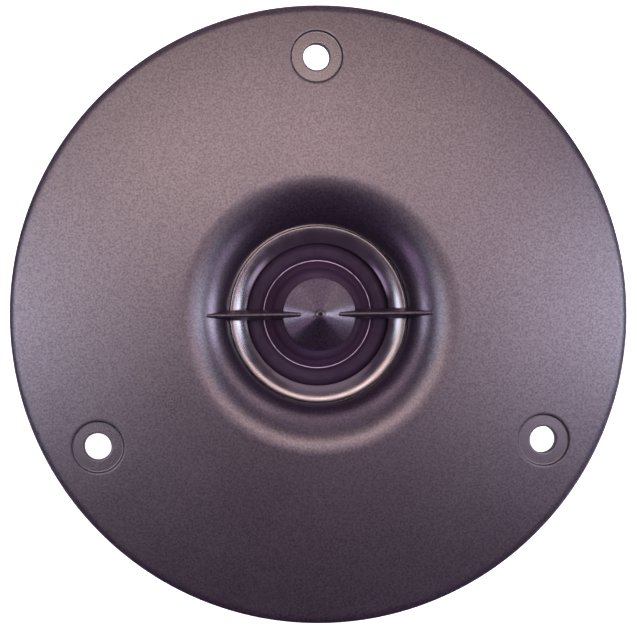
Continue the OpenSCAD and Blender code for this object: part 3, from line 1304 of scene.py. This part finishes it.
            shell.tube(np.stack([side_of.value * x + 0.0 * across, across, up], axis=-1))
        return shell.build("faceplate_bridge")

    def build(self) -> None:
        """Builds and dresses the moulding."""
        parts = (self._shell(), self._seat_wall(), self._bridge())
        GrainedPlastic().dress(*[settle(part, Body.CHASSIS, "faceplate") for part in parts])


@dataclass
class Throat:
    """The glossy ring at the bottom of the flare, and its foam seal."""

    top: float = field(default_factory=lambda: corners_mm("throat_ring")[1].z)
    foot: float = field(default_factory=lambda: corners_mm("throat_ring")[0].z)
    outside: float = 15.15
    flange: Pair = (18.0, -4.1)
    bore: float = 12.3
    lip: Pair = (12.15, 0.3)
    edge: float = 0.25
    roll: Pair = (0.142, 1.75)

    def _ring(self) -> bpy.types.Object:
        """Rim, long roll down to a thin lip, bore and clamping flange.

        The roll's depth at distance d inside the rim is k d^p, so it bends most at the rim.

        Returns:
            The piece.
        """
        rim, (bend, power) = self.outside - self.edge, self.roll
        d = np.linspace(rim - self.lip[0], 0.0, 48)
        rolled = np.column_stack([rim - d, self.top - bend * d**power])
        crown = ellipse((rim, self.top - self.edge), (self.edge, self.edge), (90.0, 0.0), 8)
        lip_z = rolled[0, 1]
        under = outline([
            (self.bore, self.foot, 0.0),
            (self.bore, lip_z - 2.0 * self.lip[1], 0.1),
            (self.lip[0], lip_z - self.lip[1], 0.08),
            (self.lip[0], lip_z, 0.07),
            (rolled[2, 0], rolled[2, 1], 0.0),
        ], 5)
        path = np.vstack([
            under,
            rolled[3:],
            crown[1:],
            [
                (self.outside, self.flange[1]),
                self.flange,
                (self.flange[0], self.foot),
                (self.bore, self.foot),
            ],
        ])
        return turned("throat_ring_turned", [path], 192)

    def build(self) -> None:
        """Builds and dresses the ring and the seal."""
        PolishedPlastic().dress(settle(self._ring(), Body.CHASSIS, "throat_ring"))
        low, high = corners_mm("throat_seal")
        foam = turned("throat_seal_foam", [loop_of([
            (15.55, high.z, 0.1), (high.x, high.z, 0.1), (high.x, low.z, 0.1), (15.55, low.z, 0.1)])])
        foam_finish = Fibrous("seal_foam", (0.012, 0.012, 0.013), (0.04, 0.04, 0.042), 0.5, 0.1)
        foam_finish.dress(settle(foam, Body.CHASSIS, "throat_seal"))


@dataclass
class Diaphragm:
    """The film surround and the film dome."""

    crease: float = field(default_factory=lambda: corners_mm("dome")[1].x)
    rest: float = -5.4
    film: float = 0.3
    bore: float = 12.3
    clamp: float = field(default_factory=lambda: corners_mm("surround")[1].x)
    roll_height: float = 0.9
    dome_height: float = 3.0
    bead: tuple[float, float, float] = (7.15, 0.9, 0.35)

    def _surround(self) -> bpy.types.Object:
        """Half-roll and clamped rim, as one closed section turned about Z.

        Returns:
            The piece.
        """
        middle, half = (self.bore + self.crease) / 2, (self.bore - self.crease) / 2
        over = ellipse((middle, self.rest), (half, self.roll_height), (180.0, 0.0), 40)
        under = ellipse((middle, self.rest - self.film), (half, self.roll_height), (0.0, 180.0), 40)
        rim = [(self.clamp, self.rest), (self.clamp, self.rest - self.film)]
        return turned("surround_roll", [np.vstack([over, rim, under, over[:1]])], 192)

    def _hang(self, piece: bpy.types.Object) -> None:
        """Lays the surround out with its radius along X, bakes its transform, then gives it its round shape
        back and hides the imported surround. No bend between the fixed ring and the coil is set up.

        Args:
            piece: The surround.
        """
        count = len(piece.data.vertices) * 3
        placed = np.empty(count, np.float32)
        piece.data.vertices.foreach_get("co", placed)
        flat = placed.reshape(-1, 3).copy()
        flat[:, 0] = np.hypot(flat[:, 0], flat[:, 1])
        flat[:, 1] = 0.0
        piece.data.vertices.foreach_set("co", flat.ravel())
        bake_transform(piece)
        piece.data.vertices.foreach_set("co", placed)
        piece.data.update()
        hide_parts("surround")
        LOG.info("%s bends between both bodies", piece.name)

    def _dome(self) -> bpy.types.Object:
        """Spherical cap of film with a formed bead: sphere + h (1 - ((r - b) / w)^2)^2.

        Returns:
            The piece.
        """
        c, h = self.crease, self.dome_height
        ball = (c * c + h * h) / (2 * h)
        r = np.linspace(0.0, c, 90)
        at, wide, high = self.bead
        sphere = self.rest + h - ball + np.sqrt(ball * ball - r * r)
        raised = high * np.clip(1 - ((r - at) / wide) ** 2, 0.0, None) ** 2
        over = np.column_stack([r, sphere + raised])
        under = np.column_stack([r, sphere + raised - self.film])[::-1]
        return turned("dome_film", [np.vstack([over, under])], 192)

    def build(self) -> None:
        """Builds and dresses both films."""
        surround = self._surround()
        self._hang(surround)
        Film().dress(surround)
        Film("dome_film", (0.0125, 0.0050, 0.0140), (0.0255, 0.0108, 0.0280)).dress(
            settle(self._dome(), Body.COIL, "dome"))


@dataclass
class VoiceCoil:
    """Former, winding and the two fine wires that leave it."""

    turns: int = 22
    tail_x: float = 1.2
    tail_radius: float = 0.15
    tail_height: float = -6.15
    hinge: Pair = (-12.6, -9.6)

    def build(self) -> None:
        """Builds and dresses the coil parts."""
        low, high = corners_mm("voice_coil_former")
        foil = turned("former_tube", [loop_of([
            (high.x - 0.25, high.z, 0.05), (high.x, high.z, 0.05),
            (high.x, low.z, 0.05), (high.x - 0.25, low.z, 0.05)])])
        PlainMetal("former_foil", (0.72, 0.71, 0.69), (0.6, 0.59, 0.56), 0.2, 0.35).dress(
            settle(foil, Body.COIL, "voice_coil_former"))
        low, high = corners_mm("voice_coil_winding")
        z = np.linspace(high.z, low.z, self.turns * 8 + 1)
        bulge = 0.06 * np.abs(np.sin(np.linspace(0.0, self.turns * math.pi, z.size)))
        wound = np.column_stack([high.x - 0.06 + bulge, z])
        inside = [(high.x - 0.29, low.z), (high.x - 0.29, high.z)]
        coil = turned("winding_turns", [np.vstack([wound, inside, wound[:1]])])
        copper = PlainMetal("copper_wire", (0.62, 0.25, 0.12), (0.42, 0.15, 0.07), 0.22, 0.36, 0.5, 0.004)
        pieces = [settle(coil, Body.COIL, "voice_coil_winding")]
        for side in Side:
            pieces.append(self._tail(side, high))
        copper.dress(*pieces)

    def _tail(self, side: Side, high: Vector) -> bpy.types.Object:
        """Fine wire up the former and out to its solder pad.

        Args:
            side: Left or right.
            high: Upper corner of the winding's box.

        Returns:
            The wire.
        """
        node = f"coil_tail_{side.name.lower()}"
        x = side.value * self.tail_x
        y = -math.sqrt((high.x - 0.3 + self.tail_radius + 0.01) ** 2 - x * x)
        end = corners_mm(node)[0].y
        path = bent_path([(x, y, high.z), (x, y, self.tail_height), (x, end, self.tail_height)], 0.35)
        path = np.vstack([path[:-1], np.linspace(path[-2], path[-1], 14)[1:]])
        piece = Shell().tube(along(path, circle(self.tail_radius, 12))).build(f"{node}_wire")
        start, end = ((0.0, v * MM, 0.0) for v in self.hinge)
        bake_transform(piece)
        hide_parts(node)
        LOG.info("%s bends between both bodies", piece.name)
        return piece


@dataclass
class Wiring:
    """Spacer ring with its pads, and the two insulated wires."""

    bore: float = 12.6
    slot_half: float = 3.2
    slot_at: float = 15.0
    slot_floor: float = 0.5
    wire: float = 0.35
    wire_height: float = -6.1
    bend_y: float = -20.6
    eyelet_y: float = -25.4
    terminal_x: float = 4.2
    start_x: float = 1.2

    def _spacer(self) -> bpy.types.Object:
        """Ring with a slot: the full ring up to the slot's floor, and an open ring above it.

        Returns:
            The piece.
        """
        low, high = corners_mm("diaphragm_ring")
        floor = low.z + self.slot_floor
        sunk = floor - 0.05
        base = loop_of([
            (self.bore, floor, 0.0), (high.x, floor, 0.0), (high.x, low.z, 0.05), (self.bore, low.z, 0.05)])
        upper = loop_of([
            (self.bore, high.z, 0.05), (high.x, high.z, 0.05), (high.x, sunk, 0.0), (self.bore, sunk, 0.0)])
        shell = Shell().add(revolve(base))
        shell.tube(open_ring(upper[:-1], math.asin(self.slot_half / self.slot_at)))
        return shell.build("spacer_ring")

    def _lead(self, side: Side) -> bpy.types.Object:
        """Insulated wire from its pad, across the drum and down to its eyelet.

        Args:
            side: Left or right.

        Returns:
            The wire.
        """
        node = f"lead_wire_{side.name.lower()}"
        low, high = corners_mm(node)
        x0, x1 = side.value * self.start_x, side.value * self.terminal_x
        z = self.wire_height
        end = self.eyelet_y
        path = bent_path([(x0, high.y, z), (x0, self.bend_y, z), (x1, end, z), (x1, end, low.z)], 0.5)
        return Shell().tube(along(path, circle(self.wire, 20))).build(f"{node}_skin")

    def build(self) -> None:
        """Builds and dresses the spacer, the pads and the wires."""
        Fibrous("spacer_board", (0.20, 0.14, 0.075), (0.34, 0.26, 0.15), 0.4, 0.02, 0.6, 0.75).dress(
            settle(self._spacer(), Body.CHASSIS, "diaphragm_ring"))
        low, high = corners_mm("solder_pads")
        blob = outline([
            (0.0, high.z + 0.1, 0.0), (0.35, high.z + 0.05, 0.2), (0.6, low.z + 0.1, 0.15),
            (0.6, low.z, 0.0), (0.0, low.z, 0.0)])
        y = (low.y + high.y) / 2
        pads = turned("solder_pad_blobs", [blob], 24, [(s.value * self.start_x, y) for s in Side])
        PlainMetal(*SOLDER).dress(
            settle(pads, Body.CHASSIS, "solder_pads"))
        WireSkin().dress(settle(self._lead(Side.LEFT), Body.CHASSIS, "lead_wire_left"))
        WireSkin("wire_red", (0.28, 0.012, 0.012), (0.40, 0.022, 0.02)).dress(
            settle(self._lead(Side.RIGHT), Body.CHASSIS, "lead_wire_right"))


@dataclass
class Motor:
    """Top plate, magnet, back plate, pole, pad and screws."""

    gap_bore: float = 10.0
    screw_circle: float = 26.3
    screw_hole: float = 1.7
    wire_hole: float = 2.2
    wire_at: Pair = (4.2, -25.4)
    window: Pair = (22.9, 29.4)
    screw_form: tuple[float, ...] = (2.6, 1.05, 1.12, 1.40, 1.1, 1.2)
    cross: Pair = (1.35, 0.34)

    def _top_plate(self) -> bpy.types.Object:
        """Pierced disc: two holed faces, the hole walls, the rim and the gap bore.

        Returns:
            The piece.
        """
        low, high = corners_mm("top_plate")
        wires = [Hole(s.value * self.wire_at[0], self.wire_at[1]) for s in Side]
        shell = Shell()
        ring = PiercedRing(*self.window, spaced(3, self.screw_circle) + wires, 288, 8, 7)
        ring.face(shell, high.z, self.wire_hole + 0.2, 4)
        ring.face(shell, low.z, self.wire_hole + 0.2, 4)
        ring.tubes(shell, outline([
            (self.wire_hole + 0.2, high.z, 0.0), (self.screw_hole + 0.3, high.z, 0.1),
            (self.screw_hole + 0.3, low.z, 0.1), (self.wire_hole + 0.2, low.z, 0.0)]))
        for start, wall, ease in ((self.window[1], high.x, 0.3), (self.window[0], self.gap_bore, 0.15)):
            side = [(start, high.z, 0.0), (wall, high.z, ease), (wall, low.z, ease), (start, low.z, 0.0)]
            shell.add(revolve(outline(side), 288))
        return shell.build("top_plate_disc")

    def _screws(self) -> bpy.types.Object:
        """Pan-head screws: the head's face is a dome with a cross-shaped dip.

        The dome's height is c k^p at a share k of the head's radius. The dip falls off
        as 1 / (1 + e^(9 (m - 1))), with m the distance measured in arms of the cross.
        The screw's form is (head, crown, core, crest, pitch, point).

        Returns:
            The three screws as one object.
        """
        low, high = corners_mm("motor_screws")
        seat = corners_mm("top_plate")[0].z
        columns = 96
        head, crown, core, crest, pitch, point = self.screw_form
        reach, half = self.cross
        shell = Shell()
        k = np.linspace(0.0, 1.0, 26)[:, None]
        a = np.arange(columns)[None] * TURN / columns
        r = head * k
        x, y = r * np.cos(a), r * np.sin(a)
        wide, tall = np.abs(x), np.abs(y)
        arm = np.minimum(
            np.maximum(wide / reach, tall / half),
            np.maximum(tall / reach, wide / half),
        )
        dip = 1.0 / (1.0 + np.exp(np.clip((arm - 1.0) * 9.0, -30.0, 30.0)))
        dome = low.z + crown * k**3.2 + 0.95 * dip * (1 - 0.35 * k)
        side = outline([(head, low.z + crown, 0.0), (head, seat, 0.15), (crest, seat, 0.0)])
        z = np.linspace(seat, high.z - point, 121)
        thread = core + (crest - core) * np.abs(np.sin((z - seat) * math.pi / pitch))
        shank = np.vstack([[(crest, seat)], np.column_stack([thread, z]), [(0.0, high.z)]])
        for at in spaced(3, self.screw_circle):
            shell.add(np.stack([at.x + x, at.y + y, dome], axis=-1))
            shell.add(revolve(side, columns, (at.x, at.y)))
            shell.add(revolve(shank, columns, (at.x, at.y)))
        return shell.build("motor_screws_panhead")

    def build(self) -> None:
        """Builds and dresses the motor."""
        low, high = corners_mm("magnet")
        magnet = turned("magnet_ring", [loop_of([
            (11.0, high.z, 0.25), (high.x, high.z, 0.35), (high.x, low.z, 0.35), (11.0, low.z, 0.25)])])
        Ferrite().dress(settle(magnet, Body.CHASSIS, "magnet"))
        low, high = corners_mm("back_plate")
        back = turned("back_plate_disc", [loop_of([
            (6.0, high.z, 0.05), (high.x, high.z, 0.2), (high.x, low.z, 0.7), (6.0, low.z, 0.12)])])
        low, high = corners_mm("pole_piece")
        step = corners_mm("back_plate")[1].z
        pole = turned("pole_turned", [outline([
            (0.0, low.z, 0.0), (5.97, low.z, 0.12), (5.97, step, 0.0), (high.x, step, 0.05),
            (high.x, high.z, 0.5), (0.0, high.z, 0.0)])])
        PlatedSteel().dress(
            settle(self._top_plate(), Body.CHASSIS, "top_plate"),
            settle(back, Body.CHASSIS, "back_plate"),
            settle(pole, Body.CHASSIS, "pole_piece"),
        )
        low, high = corners_mm("pole_pad")
        pad = turned("pole_pad_felt", [outline([
            (0.0, low.z, 0.0), (high.x, low.z, 0.05), (high.x, high.z, 0.4), (0.0, high.z, 0.0)])])
        Fibrous().dress(settle(pad, Body.CHASSIS, "pole_pad"))
        PlainMetal("screw_steel", (0.60, 0.58, 0.53), (0.44, 0.41, 0.34), 0.24, 0.40).dress(
            settle(self._screws(), Body.CHASSIS, "motor_screws"))


@dataclass(frozen=True)
class Strip:
    """A flat strip bent once: straight along Y, then an arc, then straight down Z.

    The flat pattern has v along the strip and u across it.
    """

    low: Vector
    high: Vector
    bend: float

    @property
    def half(self) -> float:
        """Half the strip's width.

        Returns:
            Half width in millimetres.
        """
        return (self.high.x - self.low.x) / 2

    @property
    def foot(self) -> float:
        """Length before the bend.

        Returns:
            Length in millimetres.
        """
        return self.high.y - self.low.y - self.bend

    @property
    def arc(self) -> float:
        """Length of the bend's outside.

        Returns:
            Length in millimetres.
        """
        return self.bend * TURN / 4

    @property
    def total(self) -> float:
        """Length of the whole strip.

        Returns:
            Length in millimetres.
        """
        return self.foot + self.arc + (self.high.z - self.low.z - self.bend)

    def wrapped(self, u: Array, v: Array, level: float) -> Array:
        """Points of the flat pattern, wrapped round the bend.

        With w the angle round the bend and q the bend's radius less the level, the arc
        is (y0 - q sin w, z0 + q cos w). The blade then runs down from the arc's end.

        Args:
            u: Places across the strip.
            v: Places along it.
            level: Depth under its outer face.

        Returns:
            Grid of points.
        """
        angle = np.clip((v - self.foot) / self.arc, 0.0, 1.0) * TURN / 4
        radius = self.bend - level
        y = np.where(v < self.foot, self.high.y - v, self.low.y + self.bend - radius * np.sin(angle))
        z = np.where(v < self.foot, self.high.z - level, self.high.z - self.bend + radius * np.cos(angle))
        z = z - np.clip(v - self.foot - self.arc, 0.0, None)
        x = (self.low.x + self.high.x) / 2 + u
        return np.stack(np.broadcast_arrays(x, y, z), axis=-1)

    def wall(self, u: Array, v: Array, levels: Pair) -> Array:
        """Edge of the strip along a line of the flat pattern.

        Args:
            u: Places across the strip.
            v: Places along it.
            levels: Depths of the two faces.

        Returns:
            Grid of points, level by place.
        """
        return np.stack([self.wrapped(u, v, level) for level in levels])


@dataclass
class Terminals:
    """Board, two blades, their eyelets and solder, and the rivets."""

    at_x: float = 4.2
    at_y: float = -25.4
    rivet_x: float = 10.4
    eyelet: Pair = (0.42, 0.9)
    lip: Pair = (1.4, 0.25)
    bend: float = 1.0
    thick: float = 0.8
    latch: float = 0.7
    latch_back: float = 3.2
    latch_window: float = 1.3
    tip: float = 0.9

    @staticmethod
    def _slab(outline_xy: Array, low: float, high: float, ease: float) -> Shell:
        """Flat slab with eased edges: the outline drawn in by the ease at both faces.

        Args:
            outline_xy: Closed outline, rows of (x, y).
            low: Z of its lower face.
            high: Z of its upper face.
            ease: Width of the eased edge.

        Returns:
            The shell of the slab.
        """
        middle = outline_xy.mean(axis=0)
        reach = np.abs(outline_xy - middle).max(axis=0)
        drawn = middle + (outline_xy - middle) * (1 - ease / reach)
        loops = [(drawn, high), (outline_xy, high - ease), (outline_xy, low + ease), (drawn, low)]
        grid = np.stack([np.column_stack([xy, np.full(len(xy), z)]) for xy, z in loops])
        return Shell().tube(grid)

    def _board(self) -> bpy.types.Object:
        """Rounded phenolic strip.

        Returns:
            The piece.
        """
        low, high = corners_mm("terminal_board")
        path = loop_of([
            (low.x, low.y, 1.5), (high.x, low.y, 1.5), (high.x, high.y, 1.5), (low.x, high.y, 1.5)], 8)[:-1]
        return self._slab(path, low.z, high.z, 0.12).build("terminal_board_strip")

    def _blade(self, node: str) -> bpy.types.Object:
        """Strip bent from a foot into a blade, with a latch hole and a tapered tip.

        Args:
            node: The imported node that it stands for.

        Returns:
            The blade.
        """
        low, high = corners_mm(node)
        strip = Strip(low, high, self.bend)
        half, total = strip.half, strip.total
        hole_v, clear = total - self.latch_back, self.latch_window
        levels = (0.0, self.thick)
        shell = Shell()
        arc_rows = np.linspace(strip.foot, strip.foot + strip.arc, 9)[1:]
        rows = np.array([0.0, 0.15, strip.foot * 0.5, strip.foot, *arc_rows, hole_v - clear])
        ends = np.array([hole_v + clear, total - self.tip, total - 0.3, total])
        u = np.linspace(-1.0, 1.0, 9)[None]
        for v in (rows, ends):
            across = u * self._wide(v, strip)[:, None]
            for level in levels:
                shell.add(strip.wrapped(across, v[:, None] + 0.0 * u, level), wrap=False)
        k = np.linspace(-1.0, 1.0, 9)
        square = np.vstack([
            np.column_stack([k[:-1] * half, np.full(8, -clear)]),
            np.column_stack([np.full(8, half), k[:-1] * clear]),
            np.column_stack([k[:0:-1] * half, np.full(8, clear)]),
            np.column_stack([np.full(8, -half), k[:0:-1] * clear]),
        ])
        unit = square / np.linalg.norm(square, axis=1, keepdims=True)
        rim = unit * self.latch
        t = np.linspace(0.0, 1.0, 5)[:, None, None]
        patch = (1 - t) * rim + t * square
        for level in levels:
            shell.add(strip.wrapped(patch[..., 0], hole_v + patch[..., 1], level))
        shell.add(strip.wall(rim[:, 0], hole_v + rim[:, 1], levels))
        long = np.concatenate([rows, hole_v + k[1:-1] * clear, ends])
        for s in (-1.0, 1.0):
            shell.add(strip.wall(s * self._wide(long, strip), long, levels), wrap=False)
        for v in (0.0, total):
            across = u[0] * self._wide(np.array([v]), strip)
            shell.add(strip.wall(across, np.full(9, v), levels), wrap=False)
        piece = shell.build(f"{node}_blade")
        eased = piece.modifiers.new("eased_edges", "BEVEL")
        eased.width = 0.1 * MM
        eased.segments = 2
        eased.limit_method = "ANGLE"
        eased.angle_limit = math.radians(50.0)
        return piece

    def _wide(self, v: Array, strip: Strip) -> Array:
        """Half width at v: it falls by 32 percent in a straight line over the tip.

        Args:
            v: Places along the strip.
            strip: The strip.

        Returns:
            Half the width at each place.
        """
        return strip.half * (1 - 0.32 * np.clip((v - strip.total + self.tip) / self.tip, 0.0, 1.0))

    def build(self) -> None:
        """Builds and dresses the terminal parts."""
        Fibrous("phenolic_board", (0.11, 0.040, 0.014), (0.20, 0.085, 0.03), 0.35, 0.008, 0.34, 0.5).dress(
            settle(self._board(), Body.CHASSIS, "terminal_board"))
        PlainMetal().dress(
            settle(self._blade("terminal_positive"), Body.CHASSIS, "terminal_positive"),
            settle(self._blade("terminal_negative"), Body.CHASSIS, "terminal_negative"),
        )
        low, high = corners_mm("terminal_eyelets")
        (bore, barrel), (lip, thin) = self.eyelet, self.lip
        rolled = loop_of([
            (bore, high.z, 0.1), (lip, high.z, 0.1), (lip, high.z - thin, 0.08),
            (barrel, high.z - thin, 0.0), (barrel, low.z + thin, 0.0),
            (lip, low.z + thin, 0.08), (lip, low.z, 0.1), (bore, low.z, 0.1)])
        pair = [(s.value * self.at_x, self.at_y) for s in Side]
        PlainMetal("eyelet_brass", (0.62, 0.44, 0.18), (0.42, 0.28, 0.11), 0.24, 0.4).dress(
            settle(turned("terminal_eyelets_rolled", [rolled], 48, pair), Body.CHASSIS, "terminal_eyelets"))
        low, high = corners_mm("terminal_solder")
        drop = outline([
            (0.0, high.z + 0.1, 0.0), (1.1, high.z + 0.1, 0.0), (1.1, high.z - 0.15, 0.2),
            (0.62, low.z + 0.12, 0.35), (0.0, low.z, 0.0)], 8)
        PlainMetal(*SOLDER).dress(
            settle(turned("terminal_solder_drops", [drop], 40, pair), Body.CHASSIS, "terminal_solder"))
        low, high = corners_mm("board_rivets")
        seat = corners_mm("terminal_board")[0].z
        rivet = outline([
            (0.0, low.z, 0.0), (1.25, low.z + 0.1, 0.45), (1.7, seat, 0.06),
            (1.0, seat, 0.0), (1.0, high.z, 0.1), (0.0, high.z, 0.0)], 6)
        ends = [(s.value * self.rivet_x, self.at_y) for s in Side]
        PlainMetal("rivet_aluminium", (0.68, 0.68, 0.69), (0.5, 0.5, 0.51), 0.26, 0.42).dress(
            settle(turned("board_rivets_upset", [rivet], 48, ends), Body.CHASSIS, "board_rivets"))


# ---------------------------------------------------------------- studio


@dataclass(frozen=True)
class Panel:
    """A soft light panel that faces the tweeter.

    It stands at a lean from the +Z axis and a heading round it from +X, both in degrees.
    Its size is (across, along the lean) in millimetres.
    """

    name: str
    lean: float
    heading: float
    distance: float
    size: Pair
    power: float
    colour: Colour

    def build(self) -> bpy.types.Object:
        """Makes the light.

        Returns:
            The light object, turned to the origin.
        """
        data = bpy.data.lights.new(self.name, "AREA")
        data.shape, data.size, data.size_y = "RECTANGLE", self.size[0] * MM, self.size[1] * MM
        data.energy, data.color = self.power, self.colour
        lean, heading = math.radians(self.lean), math.radians(self.heading)
        flat = math.sin(lean)
        away = Vector((flat * math.cos(heading), flat * math.sin(heading), math.cos(lean)))
        across = Vector((-math.sin(heading), math.cos(heading), 0.0))
        turn = Matrix((across, away.cross(across), away)).transposed().to_4x4()
        light = bpy.data.objects.new(self.name, data)
        light.matrix_world = Matrix.Translation(away * self.distance * MM) @ turn
        bpy.context.scene.collection.objects.link(light)
        return light


@dataclass
class Studio:
    """Floor, lights and camera."""

    distance: float = 450.0
    swing: float = -3.3
    rise: float = 0.3
    roll: float = -0.75
    focus_height: float = 4.0
    view_width: float = 107.113
    shift: Pair = (0.303, 0.017)
    sensor: float = 36.0
    world: tuple[float, ...] = (0.9, 0.8, 1.0, 1.0)
    world_strength: float = 0.014
    panels: tuple[Panel, ...] = (
        Panel("upper_low", 8.0, 90.0, 220.0, (44.0, 36.0), 0.045, (1.0, 0.76, 0.84)),
        Panel("upper_mid", 13.5, 90.0, 220.0, (44.0, 36.0), 0.048, (1.0, 0.76, 0.66)),
        Panel("upper_right", 15.0, 45.0, 220.0, (44.0, 44.0), 0.066, (1.0, 0.72, 0.67)),
        Panel("upper_left", 14.0, 135.0, 220.0, (44.0, 44.0), 0.070, (1.0, 0.74, 0.66)),
        Panel("near_right", 18.0, 0.0, 220.0, (44.0, 44.0), 0.068, (1.0, 0.80, 0.96)),
        Panel("near_left", 16.0, 180.0, 220.0, (44.0, 44.0), 0.052, (1.0, 0.84, 0.95)),
        Panel("side_right", 30.5, 0.0, 200.0, (44.0, 44.0), 0.130, (0.80, 0.82, 1.0)),
        Panel("side_left", 24.0, 180.0, 200.0, (44.0, 40.0), 0.100, (0.78, 0.80, 1.0)),
        Panel("far_right", 63.0, 0.0, 500.0, (200.0, 150.0), 2.0, (0.82, 0.75, 1.0)),
        Panel("far_left", 65.0, 180.0, 500.0, (200.0, 115.0), 1.15, (0.82, 0.74, 1.0)),
        Panel("wide_upper", 50.0, 90.0, 500.0, (600.0, 200.0), 0.60, (1.0, 0.76, 0.95)),
        Panel("upper_fill", 33.0, 90.0, 400.0, (260.0, 90.0), 0.050, (1.0, 0.80, 0.84)),
        Panel("wide_low", 70.0, 90.0, 500.0, (700.0, 200.0), 1.10, (1.0, 0.70, 0.88)),
        Panel("wide_right", 64.0, 38.0, 500.0, (330.0, 180.0), 0.75, (1.0, 0.76, 0.84)),
        Panel("wide_left", 64.0, 142.0, 500.0, (330.0, 180.0), 0.68, (1.0, 0.72, 0.92)),
        Panel("lower_right", 55.0, -30.0, 500.0, (150.0, 200.0), 0.48, (0.88, 0.67, 1.0)),
        Panel("lower_left", 55.0, 210.0, 500.0, (150.0, 200.0), 0.50, (0.86, 0.58, 1.0)),
    )

    def _camera(self) -> None:
        """Camera on a long lens, aimed at the plate's centre."""
        data = bpy.data.cameras.new("camera")
        data.sensor_width = self.sensor
        span = self.distance - self.focus_height
        data.lens = span * self.sensor / self.view_width
        data.shift_x = -self.shift[0] / self.view_width
        data.shift_y = -self.shift[1] / self.view_width
        camera = bpy.data.objects.new("camera", data)
        swing, rise = math.tan(math.radians(self.swing)), math.tan(math.radians(self.rise))
        away = Vector((swing, rise, 1.0)).normalized()
        right = Vector((0.0, 1.0, 0.0)).cross(away).normalized()
        turn = Matrix((right, away.cross(right), away)).transposed().to_4x4()
        place = Matrix.Translation(Vector((0.0, 0.0, self.focus_height * MM)) + away * span * MM)
        camera.matrix_world = place @ turn @ Matrix.Rotation(math.radians(self.roll), 4, "Z")
        bpy.context.scene.collection.objects.link(camera)
        bpy.context.scene.camera = camera

    def _floor(self) -> None:
        """Pale floor under the magnet."""
        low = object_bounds()[0][2]
        half = 1.5
        mesh = bpy.data.meshes.new("floor")
        corners = [(-half, -half, low), (half, -half, low), (half, half, low), (-half, half, low)]
        mesh.from_pydata(corners, [], [(0, 1, 2, 3)])
        floor = bpy.data.objects.new("floor", mesh)
        bpy.context.scene.collection.objects.link(floor)
        graph = Graph("floor_paper")
        graph.colour(graph.mix(graph.noise(30.0, 2.0), (0.90, 0.90, 0.91), (0.93, 0.93, 0.94)))
        graph.constants(Roughness=0.9, Emission_Color=(0.97, 0.97, 0.98), Emission_Strength=0.75)
        mesh.materials.append(graph.material)
        floor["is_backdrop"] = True

    def _lights(self) -> None:
        """Soft panels and a dim surround."""
        for panel in self.panels:
            panel.build()
        world = bpy.data.worlds.new("studio")
        bpy.context.scene.world = world
        world.use_nodes = True
        inputs = world.node_tree.nodes["Background"].inputs
        inputs["Color"].default_value = self.world
        inputs["Strength"].default_value = self.world_strength

    def build(self) -> None:
        """Sets up the studio."""
        bpy.context.scene.view_settings.view_transform = "Standard"
        self._camera()
        self._floor()
        self._lights()


def main() -> None:
    """Builds the tweeter in order, then the studio."""
    logging.basicConfig(level=logging.INFO, format="%(name)s: %(message)s")
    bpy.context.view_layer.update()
    Studio().build()
    for part in (MountingPlate(), Throat(), Diaphragm(), VoiceCoil(), Wiring(), Motor(), Terminals()):
        part.build()
        LOG.info("%s is built", type(part).__name__)


if __name__ == "__main__":
    main()
